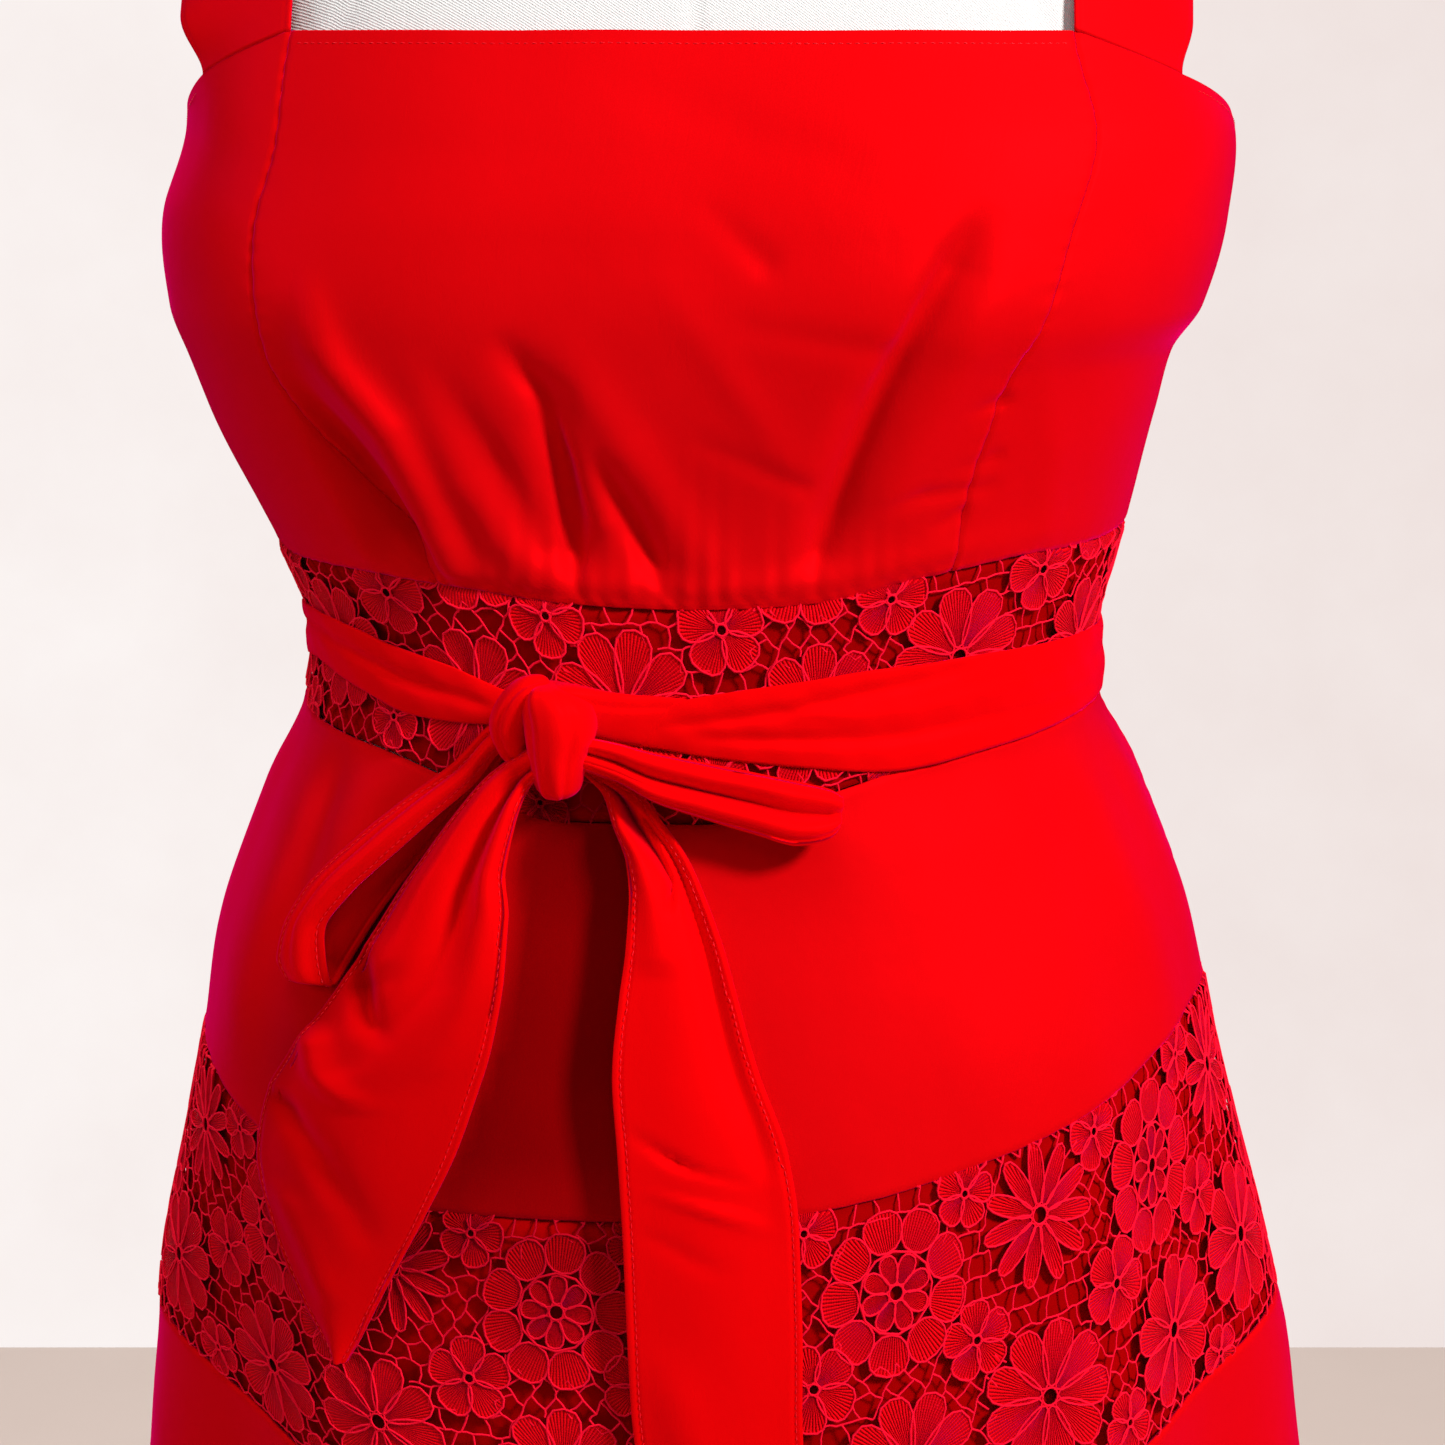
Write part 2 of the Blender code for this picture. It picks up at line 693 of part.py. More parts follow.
def lace(name, start, end, foot, top, offset, most):
    """Half a band of lace as a wall with its net gaps cut through, worked out flat and wrapped round."""
    fine = np.linspace(start + SEAM_HALF_TURN, end - SEAM_HALF_TURN, 181)
    middle = cloth_point(fine, (foot(fine) + top(fine)) / 2)
    run = np.concatenate(
        [[0.0], np.cumsum(np.linalg.norm(np.diff(middle, axis=0), axis=1))]
    )
    length, height = run[-1], float(np.mean(top(fine) - foot(fine)))
    rim = np.interp(np.linspace(fine[0], fine[-1], 37), fine, run)
    sides = np.linspace(0.0, height, 6)[1:-1]
    border = [(u, 0.0) for u in rim] + [(length, v) for v in sides]
    border += [(u, height) for u in rim[::-1]] + [(0.0, v) for v in sides[::-1]]
    flat = [Vector(p) for p in border]
    edges = [(i, (i + 1) % len(border)) for i in range(len(border))]
    gaps = net_gaps(length, height, offset, most)
    for corners in gaps:
        first = len(flat)
        flat += [Vector(c) for c in corners]
        edges += [(first + i, first + (i + 1) % len(corners)) for i in range(len(corners))]
    middles = np.array([g.mean(axis=0) for g in gaps])
    for u in rim[2:-1:2]:
        for v in sides:
            if np.hypot(*(middles - (u, v)).T).min() > NET_CELL * 0.8:
                flat.append(Vector((u, v)))
    corners_2d, _, triangles = delaunay_2d_cdt(flat, edges, [], 0, 1e-7)[:3]
    points = np.array([tuple(p) for p in corners_2d])
    kept = []
    for triangle in triangles:
        centre = points[list(triangle)].mean(axis=0)
        if not any(
            np.abs(centre - g.mean(axis=0)).max() < NET_CELL and inside_gap(centre, g)
            for g in gaps
        ):
            kept.append(tuple(triangle))
    angle = np.interp(points[:, 0], run, fine)
    low, high = foot(angle) + SEAM_GAP, top(angle) - SEAM_GAP
    level = low + (high - low) * points[:, 1] / height
    outer = cloth_point(angle, level)
    inner = outer - cloth_normal(angle, level) * LACE
    count = len(points)
    sides_of = {}
    for a, b, c in kept:
        for pair in ((a, b), (b, c), (c, a)):
            sides_of[pair] = True
    faces = kept + [tuple(i + count for i in t[::-1]) for t in kept]
    for a, b in sides_of:
        if (b, a) not in sides_of:
            faces.append((b, a, a + count, b + count))
    return solid(name, np.vstack([outer, inner]), faces, "red_lace")


# Straps


def ring_reach(x, y, level):
    """Below 1 inside the cloth's plain ring at a level, above 1 outside it."""
    lean, half_width, front, back, power = np.moveaxis(
        read_smooth(SECTIONS, level), -1, 0
    )
    depth = np.where(y <= 0, front, back)
    return np.abs((x - lean) / half_width) ** power + np.abs(y / depth) ** power


def over_shoulder(x, turn, pivot):
    """Points where rays in an upright plane leave the figure: turn 0 points forwards, 90 degrees up."""
    near, far = np.zeros(np.shape(turn)), np.full(np.shape(turn), 0.4)
    for _ in range(40):
        half = (near + far) / 2
        inside = ring_reach(x, -half * np.cos(turn), pivot + half * np.sin(turn)) < 1
        near, far = np.where(inside, half, near), np.where(inside, far, half)
    return np.stack(
        [x + 0.0 * near, -near * np.cos(turn), pivot + near * np.sin(turn)], axis=-1
    )


def strap(name, columns=2, rows=28):
    """A broad strap, from the bodice's front edge over the shoulder to its back edge."""
    pivot = BACK_NECKLINE - 0.020
    inner_angle, outer_angle, inner_x, outer_x = STRAPS[name]
    share = np.linspace(0.0, 1.0, columns + 1)
    gap = math.copysign(0.2, inner_angle)
    angle = inner_angle + gap + (outer_angle - 2 * gap - inner_angle) * share
    angle = np.radians(angle)
    front = cloth_point(angle, top_edge(angle) + SEAM_GAP)
    shoulder_x = inner_x + (outer_x - inner_x) * share
    high = BACK_NECKLINE + SEAM_GAP
    lean, half_width, _, back, power = read_smooth(SECTIONS, high)
    across = np.abs((shoulder_x - lean) / half_width) ** power
    back_y = back * (1 - across) ** (1 / power)
    begin = np.arctan2(front[:, 2] - pivot, -front[:, 1])
    finish = math.pi - np.arctan2(high - pivot, back_y)
    turn = begin + (finish - begin) * np.linspace(0.0, 1.0, rows + 1)[:, None]
    ease = np.clip((turn - begin) / (math.pi / 2 - begin), 0.0, 1.0)
    ease = ease**2 * (3 - 2 * ease)
    x = front[:, 0] + (shoulder_x - front[:, 0]) * ease
    outer = over_shoulder(x, turn, pivot)
    outer[0] = front
    normal = unit(np.cross(np.gradient(outer, axis=0), np.gradient(outer, axis=1)))
    middle = outer.mean(axis=(0, 1)) - np.array([0.0, 0.0, 0.06])
    facing = np.sign(((outer - middle) * normal).sum(axis=-1, keepdims=True))
    inner = outer - facing * normal * CLOTH
    return shell(name, outer, inner, "red_sateen")


# The sash


def sash_band(columns=52, rows=3):
    """The sash round the waist: a rounded wall that starts and ends in the knot."""
    turn = np.linspace(SASH_BAND[0, 0], SASH_BAND[-1, 0], columns + 1)
    level, height = np.moveaxis(read_smooth(SASH_BAND, turn), -1, 0)
    across = np.linspace(-0.5, 0.5, rows + 1)[:, None]
    angle = np.radians(turn)[None, :] + 0.0 * across
    levels = level + height * across
    round_off = 1.0 - (2 * across) ** 2 * 0.6
    outer = off_cloth(angle, levels, SASH_STAND + SASH_FULLNESS * round_off)
    inner = off_cloth(angle, levels, SASH_STAND + 0.0 * levels)
    return shell("sash_band", outer, inner, "red_sateen")


def knot_mesh(name, swell, slot):
    """The knot: rings of an ellipse, each end closed by a small cap. Swell makes a larger copy of it."""
    side = np.linspace(0.0, 2 * math.pi, KNOT_SIDES, endpoint=False)
    middle = off_cloth(np.array(KNOT_ANGLE), np.array(KNOT_LEVEL), KNOT_STAND)
    rings = []
    for rise, shift, half_width, half_depth in KNOT_RINGS:
        lift = rise + math.copysign(swell, rise)
        rings.append(
            middle
            + np.stack(
                [
                    shift + (half_width + swell) * np.cos(side),
                    (half_depth + swell) * np.sin(side),
                    lift + 0.0 * side,
                ],
                axis=-1,
            )
        )
    points = np.vstack(rings)
    last = len(rings) - 1
    faces = [tuple(range(KNOT_SIDES)), tuple(last * KNOT_SIDES + np.arange(KNOT_SIDES))]
    for r in range(last):
        for c in range(KNOT_SIDES):
            d = (c + 1) % KNOT_SIDES
            a, b = r * KNOT_SIDES, (r + 1) * KNOT_SIDES
            faces.append((a + c, a + d, b + d, b + c))
    return solid(name, points, faces, slot)


def ribbon(name):
    """A loop or tail of the bow: cloth between two edges, pleated where the knot gathers it."""
    table = np.array(RIBBONS[name])
    rows, ridges, rise = RIBBON_SHAPES[name]
    place = np.arange(len(table), dtype=float)
    numbered = np.column_stack([place, table])
    along = np.linspace(0.0, len(table) - 1.0, rows + 1)
    angle_1, level_1, angle_2, level_2, stand = np.moveaxis(
        read_smooth(numbered, along), -1, 0
    )
    across = np.linspace(0.0, 1.0, RIBBON_COLUMNS + 1)[None, :]
    angle = np.radians(angle_1[:, None] + (angle_2 - angle_1)[:, None] * across)
    level = level_1[:, None] + (level_2 - level_1)[:, None] * across
    centre = off_cloth(
        angle, level, stand[:, None] - rise * np.cos(2 * math.pi * ridges * across)
    )
    normal = unit(np.cross(np.gradient(centre, axis=0), np.gradient(centre, axis=1)))
    outer = centre + normal * SASH_CLOTH / 2
    inner = centre - normal * SASH_CLOTH / 2
    return shell(name, outer, inner, "red_sateen")


def cut_clear(target, cutter):
    """Cuts a piece back where it would enter its neighbour."""
    cut = target.modifiers.new("clear_of_" + cutter.name, "BOOLEAN")
    cut.operation = "DIFFERENCE"
    cut.solver = "EXACT"
    cut.object = cutter


# The dress form and its stand


def form_torso(columns=24):
    """The form: the cloth's plain rings moved inwards, closed below and at the neck."""
    levels = np.concatenate(
        [np.linspace(FORM_FOOT, 1.36, 15), np.linspace(1.385, 1.446, 5), [1.468, FORM_TOP]]
    )
    angle = np.linspace(0.0, 2 * math.pi, columns, endpoint=False)
    rings = []
    for level in levels:
        ease = read_smooth(FORM_EASE, level)[0]
        normal = cloth_normal(angle, level + 0.0 * angle, 0.0)
        if level in (levels[0], levels[-1]):
            normal = unit(normal * np.array([1.0, 1.0, 0.0]))
        rings.append(cloth_point(angle, level, 0.0) - normal * ease)
    points = np.vstack(rings)
    last = len(rings) - 1
    faces = [tuple(range(columns)), tuple(last * columns + np.arange(columns))]
    for r in range(last):
        for c in range(columns):
            d = (c + 1) % columns
            a, b = r * columns, (r + 1) * columns
            faces.append((a + c, a + d, b + d, b + c))
    return solid("form_torso", points, faces, "canvas")


def turned(name, profile, slot, sides=28):
    """A closed piece turned about the upright axis, from pairs of radius and level."""
    angle = np.linspace(0.0, 2 * math.pi, sides, endpoint=False)
    points = [(0.0, 0.0, profile[0][1]), (0.0, 0.0, profile[-1][1])]
    for radius, level in profile[1:-1]:
        for a in angle:
            points.append((radius * math.cos(a), radius * math.sin(a), level))
    faces = []
    rings = len(profile) - 2
    for c in range(sides):
        d = (c + 1) % sides
        faces.append((0, 2 + c, 2 + d))
        top = 2 + (rings - 1) * sides
        faces.append((1, top + d, top + c))
        for r in range(rings - 1):
            a, b = 2 + r * sides, 2 + (r + 1) * sides
            faces.append((a + c, b + c, b + d, a + d))
    return solid(name, points, faces, slot)


def stand():
    """Base plate, the hub on it, and the pole up to the form."""
    plate_top = BASE_THICKNESS
    turned(
        "stand_base",
        (
            (0.0, 0.0),
            (BASE_RADIUS - BASE_EDGE, 0.0),
            (BASE_RADIUS, BASE_EDGE),
            (BASE_RADIUS, plate_top - BASE_EDGE),
            (BASE_RADIUS - BASE_EDGE, plate_top),
            (0.0, plate_top),
        ),
        "painted_steel",
    )
    turned(
        "stand_hub",
        (
            (0.0, plate_top + SEAM_GAP),
            (HUB_RADIUS, plate_top + SEAM_GAP),
            (HUB_RADIUS, plate_top + BASE_EDGE),
            (POLE_RADIUS + BASE_EDGE, HUB_TOP),
            (0.0, HUB_TOP),
        ),
        "painted_steel",
        sides=20,
    )
    turned(
        "stand_pole",
        (
            (0.0, HUB_TOP + SEAM_GAP),
            (POLE_RADIUS, HUB_TOP + SEAM_GAP),
            (POLE_RADIUS, FORM_FOOT - SEAM_GAP),
            (0.0, FORM_FOOT - SEAM_GAP),
        ),
        "painted_steel",
        sides=16,
    )


def neck_cap():
    """The turned cap on the form's neck."""
    foot = FORM_TOP + SEAM_GAP
    turned(
        "form_neck_cap",
        (
            (0.0, foot),
            (0.050, foot),
            (0.053, foot + NECK_CAP_HEIGHT * 0.4),
            (0.046, foot + NECK_CAP_HEIGHT * 0.8),
            (0.0, foot + NECK_CAP_HEIGHT),
        ),
        "painted_steel",
        sides=24,
    )


def bodice():
    """Front panel between its curved seams, a side panel at each side, two back panels and the straps."""
    foot = seam(BODICE_FOOT)
    left, right = princess_seam(0), princess_seam(1)
    left_side, right_side = straight_seam(-SIDE), straight_seam(SIDE)
    panel("bodice_front", left, right, foot, top_edge, 20, 9)
    panel("bodice_side_left", left_side, left, foot, top_edge, 8, 9)
    panel("bodice_side_right", right, right_side, foot, top_edge, 9, 9)
    panel("bodice_back_right", right_side, straight_seam(BACK), foot, top_edge, 12, 9)
    panel("bodice_back_left", straight_seam(-BACK), left_side, foot, top_edge, 12, 9)
    for name in STRAPS:
        strap(name)


def skirt():
    """Waist lace, yoke, skirt lace and lower skirt in halves, with linings behind the lace."""
    waist_top, waist_foot = seam(BODICE_FOOT), seam(YOKE_TOP)
    lace_top, lace_foot = seam(YOKE_FOOT), seam(LACE_FOOT)
    for half, start, end in (("front", -SIDE, SIDE), ("back", SIDE, SIDE + BACK)):
        sides = (straight_seam(start), straight_seam(end))
        shift = 0.0 if half == "front" else TILE / 3
        panel("yoke_" + half, *sides, lace_top, waist_foot, 36, 3)
        panel("lower_skirt_" + half, *sides, hem, lace_foot, 36, 4)
        lace("waist_lace_" + half, start, end, waist_foot, waist_top, shift, 17)
        lace("skirt_lace_" + half, start, end, lace_foot, lace_top, shift, 46)
    shares = np.linspace(0.0, 1.0, 5)
    waist_spans = np.column_stack([shares, 0.0015 + 0.0009 * np.sin(math.pi * shares)])
    skirt_spans = np.array([(0.0, 0.0016), (0.12, 0.0024), (0.5, 0.0050), (1.0, 0.0075)])
    lining("waist_lining", waist_top, seam(YOKE_TOP, -SEAM_GAP), waist_spans)
    lining("skirt_lining", lace_top, seam(LACE_FOOT, 0.012), skirt_spans)


def sash():
    """The band round the waist, the knot, two loops and two tails, each cut clear of the knot."""
    knot_mesh("sash_knot", 0.0, "red_sateen")
    cutter = knot_mesh("knot_room", SEAM_GAP, "red_sateen")
    cutter.hide_render = True
    cutter.display_type = "WIRE"
    cut_clear(sash_band(), cutter)
    for name in RIBBONS:
        cut_clear(ribbon(name), cutter)


def main():
    for old in list(bpy.data.objects):
        bpy.data.objects.remove(old)
    form_torso()
    neck_cap()
    stand()
    bodice()
    skirt()
    sash()


main()
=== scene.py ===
"""Looks of a red midi dress with two lace bands and a tied sash, worn by a limbless dress form.

Metres, +Z up. The dress faces -Y. Angles run round the figure from the centre front (0) towards +X,
and levels are heights above the floor. Each piece of cloth is a grid of angles and levels laid on one
surface, and the lace is worked out flat and then laid on the same surface.
"""

import math
from functools import cache

import bpy
import numpy as np
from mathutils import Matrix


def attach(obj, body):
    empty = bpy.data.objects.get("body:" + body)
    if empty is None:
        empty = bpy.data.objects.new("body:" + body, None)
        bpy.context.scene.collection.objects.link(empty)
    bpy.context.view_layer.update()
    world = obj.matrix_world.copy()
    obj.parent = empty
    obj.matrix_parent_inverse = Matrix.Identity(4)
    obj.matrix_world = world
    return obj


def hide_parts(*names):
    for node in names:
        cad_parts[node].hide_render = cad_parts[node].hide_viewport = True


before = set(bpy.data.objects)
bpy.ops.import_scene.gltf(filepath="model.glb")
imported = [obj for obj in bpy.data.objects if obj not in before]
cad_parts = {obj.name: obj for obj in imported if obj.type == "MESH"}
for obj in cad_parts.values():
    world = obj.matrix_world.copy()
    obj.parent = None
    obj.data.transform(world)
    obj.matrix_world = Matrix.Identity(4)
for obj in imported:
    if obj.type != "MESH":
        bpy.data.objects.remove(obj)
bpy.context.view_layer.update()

# Levels above the floor

HEM = 0.324
NECKLINE = 1.300
BACK_NECKLINE = 1.258
FORM_FOOT = 0.765
FORM_TOP = 1.500

# Cloth and seams

CLOTH = 0.0012
LINING = 0.0010
SASH_CLOTH = 0.0016
SEAM_GAP = 0.0003
SIDE = math.pi / 2
BACK = math.pi

# The cloth's outline, one row for each level: how far the middle leans to +X, the half width, the reach
# to the front and to the back, and how square the ring is (2 is an ellipse)

SECTIONS = np.array([
    # level, lean, half_width, front, back, power
    (0.324, 0.008, 0.306, 0.266, 0.242, 2.0), (0.697, 0.007, 0.251, 0.212, 0.184, 2.05),
    (0.766, 0.006, 0.242, 0.204, 0.174, 2.1), (0.813, 0.003, 0.233, 0.199, 0.167, 2.15),
    (0.859, 0.002, 0.221, 0.193, 0.159, 2.2), (0.899, 0.001, 0.2115, 0.186, 0.151, 2.25),
    (0.948, 0.0, 0.2015, 0.172, 0.139, 2.3), (1.002, 0.0, 0.1805, 0.155, 0.119, 2.3),
    (1.037, -0.001, 0.1635, 0.146, 0.107, 2.3), (1.066, 0.0, 0.16, 0.142, 0.101, 2.3),
    (1.097, -0.002, 0.168, 0.142, 0.099, 2.35), (1.12, -0.004, 0.176, 0.144, 0.1, 2.4),
    (1.157, -0.0085, 0.188, 0.151, 0.103, 2.5), (1.18, -0.01, 0.195, 0.154, 0.105, 2.5),
    (1.197, -0.007, 0.2035, 0.155, 0.106, 2.5), (1.23, -0.0035, 0.2085, 0.15, 0.108, 2.5),
    (1.262, 0.002, 0.2055, 0.139, 0.108, 2.5), (1.3, -0.003, 0.196, 0.12, 0.106, 2.5),
    (1.33, -0.003, 0.192, 0.106, 0.103, 2.5), (1.36, -0.002, 0.189, 0.092, 0.098, 2.45),
    (1.385, -0.001, 0.184, 0.081, 0.091, 2.4), (1.402, 0.0, 0.172, 0.073, 0.084, 2.35),
    (1.418, 0.0, 0.145, 0.067, 0.078, 2.3), (1.432, 0.0, 0.11, 0.062, 0.072, 2.2),
    (1.446, 0.0, 0.078, 0.058, 0.066, 2.1), (1.468, 0.0, 0.065, 0.054, 0.06, 2.0),
    (1.5, 0.0, 0.062, 0.052, 0.057, 2.0),
])

# Fullness over the bust, and the hollow between it and the waist

CUPS = np.array([
    # angle, level, angle_spread, level_spread, rise
    (-41.0, 1.205, 15.0, 0.04, 0.005), (35.0, 1.205, 15.0, 0.04, 0.005),
    (-4.0, 1.14, 22.0, 0.035, -0.004),
])

# Folds that hang from the bust to the waist seam, as paths on the front seen from straight ahead. They
# flatten out over a short height above the seam

FOLD_FADE = 0.020
BODICE_FOLDS = np.array([
    # fold, x, level, width, rise
    (0, -0.141, 1.215, 0.008, 0.0), (0, -0.134, 1.19, 0.008, 0.004), (0, -0.11, 1.161, 0.009, 0.006),
    (0, -0.09, 1.1, 0.01, 0.005),
    (1, -0.15, 1.183, 0.008, 0.0), (1, -0.131, 1.15, 0.01, -0.008), (1, -0.104, 1.104, 0.01, -0.008),
    (2, -0.105, 1.191, 0.007, 0.0), (2, -0.085, 1.142, 0.008, 0.004), (2, -0.059, 1.102, 0.009, 0.0045),
    (3, -0.096, 1.188, 0.006, 0.0), (3, -0.076, 1.15, 0.007, -0.0035), (3, -0.06, 1.118, 0.006, -0.002),
    (4, -0.074, 1.197, 0.007, 0.0), (4, -0.055, 1.172, 0.008, -0.0055),
    (4, -0.049, 1.129, 0.009, -0.006), (4, -0.045, 1.103, 0.007, -0.003),
    (5, -0.055, 1.2, 0.009, 0.0), (5, -0.028, 1.154, 0.01, 0.004), (5, -0.001, 1.115, 0.009, 0.002),
    (6, -0.04, 1.155, 0.007, 0.0), (6, -0.024, 1.125, 0.007, -0.0025),
    (6, -0.013, 1.102, 0.007, -0.0025),
    (7, 0.099, 1.242, 0.006, 0.0), (7, 0.088, 1.219, 0.008, -0.005), (7, 0.06, 1.17, 0.009, -0.006),
    (7, 0.046, 1.13, 0.008, -0.005), (7, 0.04, 1.106, 0.007, -0.002),
    (8, 0.108, 1.232, 0.011, 0.0), (8, 0.09, 1.19, 0.011, 0.0025), (8, 0.066, 1.14, 0.011, 0.002),
])

# Soft flutes of the skirt, which grow from the hips to the hem

FLUTE_TOP = 0.985
FLUTE_GROWTH = 1.25
FLUTES = np.array([
    # angle, spread, rise_at_hem
    (-8.0, 12.0, -0.016), (14.0, 11.0, 0.014), (40.0, 10.0, 0.02), (57.0, 8.0, -0.022),
    (74.0, 9.0, 0.018), (97.0, 11.0, -0.016), (118.0, 10.0, 0.017), (140.0, 11.0, -0.015),
    (163.0, 11.0, 0.018), (187.0, 12.0, -0.014), (209.0, 10.0, 0.018), (230.0, 11.0, -0.017),
    (252.0, 10.0, 0.015), (272.0, 9.0, -0.014), (289.0, 9.0, 0.018), (306.0, 8.0, -0.016),
    (325.0, 11.0, 0.015),
])

# Levels of the seams round the figure

SEAMS = np.array([
    # angle, bodice_foot, yoke_top, yoke_foot, lace_foot
    (-180, 1.106, 1.038, 0.905, 0.785), (-90, 1.103, 1.041, 0.905, 0.791),
    (-70, 1.103, 1.038, 0.898, 0.788), (-50, 1.104, 1.036, 0.881, 0.772),
    (-35, 1.102, 1.029, 0.876, 0.758), (-20, 1.098, 1.018, 0.877, 0.75),
    (0, 1.096, 1.018, 0.878, 0.748), (18, 1.098, 1.028, 0.885, 0.752), (33, 1.106, 1.037, 0.895, 0.762),
    (50, 1.111, 1.041, 0.907, 0.772), (72, 1.111, 1.042, 0.923, 0.788), (90, 1.11, 1.042, 0.922, 0.79),
    (180, 1.106, 1.038, 0.905, 0.785),
])
BODICE_FOOT, YOKE_TOP, YOKE_FOOT, LACE_FOOT = range(4)

# The bodice's upper edge, as a drop below the front neckline. It is level in front, slopes down under
# each strap and runs level again round the back

TOP_EDGE = np.array([
    # angle, drop
    (-180.0, 0.042), (-104.0, 0.042), (-90.0, 0.038), (-71.5, 0.016), (-57.8, 0.0), (54.6, 0.0),
    (67.5, 0.016), (90.0, 0.038), (104.0, 0.042), (180.0, 0.042),
])

# Straps, left then right: the two edges' angles on the front edge, and their distances from the middle
# on the shoulder

STRAPS = {
    # name: inner_angle, outer_angle, inner_x, outer_x
    "strap_left": (-57.8, -71.5, -0.139, -0.181),
    "strap_right": (54.6, 67.5, 0.138, 0.180),
}

# The curved seams beside the bodice's front panel, from its foot (0) to its top (1)

PRINCESS_SEAMS = np.array([
    # height_share, left_angle, right_angle
    (0.0, -37.0, 36.5), (0.15, -44.0, 38.0), (0.35, -49.5, 41.0), (0.6, -53.5, 45.5),
    (0.85, -56.5, 51.5), (1.0, -57.8, 54.6),
])

# How far the form lies inside the cloth: close at the shoulders, free inside the skirt

FORM_EASE = np.array([
    # level, ease
    (0.765, 0.045), (0.85, 0.026), (0.92, 0.013), (1.0, 0.008), (1.05, 0.0075), (1.12, 0.009),
    (1.2, 0.008), (1.262, 0.0045), (1.33, 0.0034), (1.39, 0.0042), (1.5, 0.0034),
])

# The sash where it goes round the waist: middle level and height at each angle, from the knot's right
# side round the back to its left side

SASH_BAND = np.array([
    # angle, level, height
    (-17.0, 1.0515, 0.0115), (-10.0, 1.0525, 0.013), (0.0, 1.0535, 0.0222), (14.0, 1.0537, 0.0315),
    (28.0, 1.054, 0.0386), (44.0, 1.057, 0.036), (62.0, 1.058, 0.0315), (90.0, 1.056, 0.027),
    (180.0, 1.052, 0.03), (268.0, 1.062, 0.024), (293.0, 1.0711, 0.0222), (305.0, 1.0685, 0.0243),
    (315.0, 1.0634, 0.0245), (323.0, 1.061, 0.0213), (331.0, 1.0576, 0.014), (341.0, 1.053, 0.011),
])
BAND_TURNS, BAND_ROWS = 320, 29
SASH_STAND = 0.0010
SASH_FULLNESS = 0.0022

# The knot, as level rings about its own middle

KNOT_ANGLE = math.radians(-19.8)
KNOT_LEVEL = 1.0485
KNOT_STAND = 0.0155
KNOT_RINGS = np.array([
    # rise, shift, half_width, half_depth
    (-0.021, 0.0, 0.005, 0.0055), (-0.0175, 0.0, 0.0085, 0.0095), (-0.007, 0.0, 0.0108, 0.0125),
    (0.004, 0.001, 0.0135, 0.013), (0.012, 0.0, 0.014, 0.012), (0.018, -0.0025, 0.011, 0.0095),
    (0.0212, -0.0045, 0.005, 0.0055),
])

# Loops and tails of the bow. Each row gives the cloth's two edges, and how far it stands off the dress

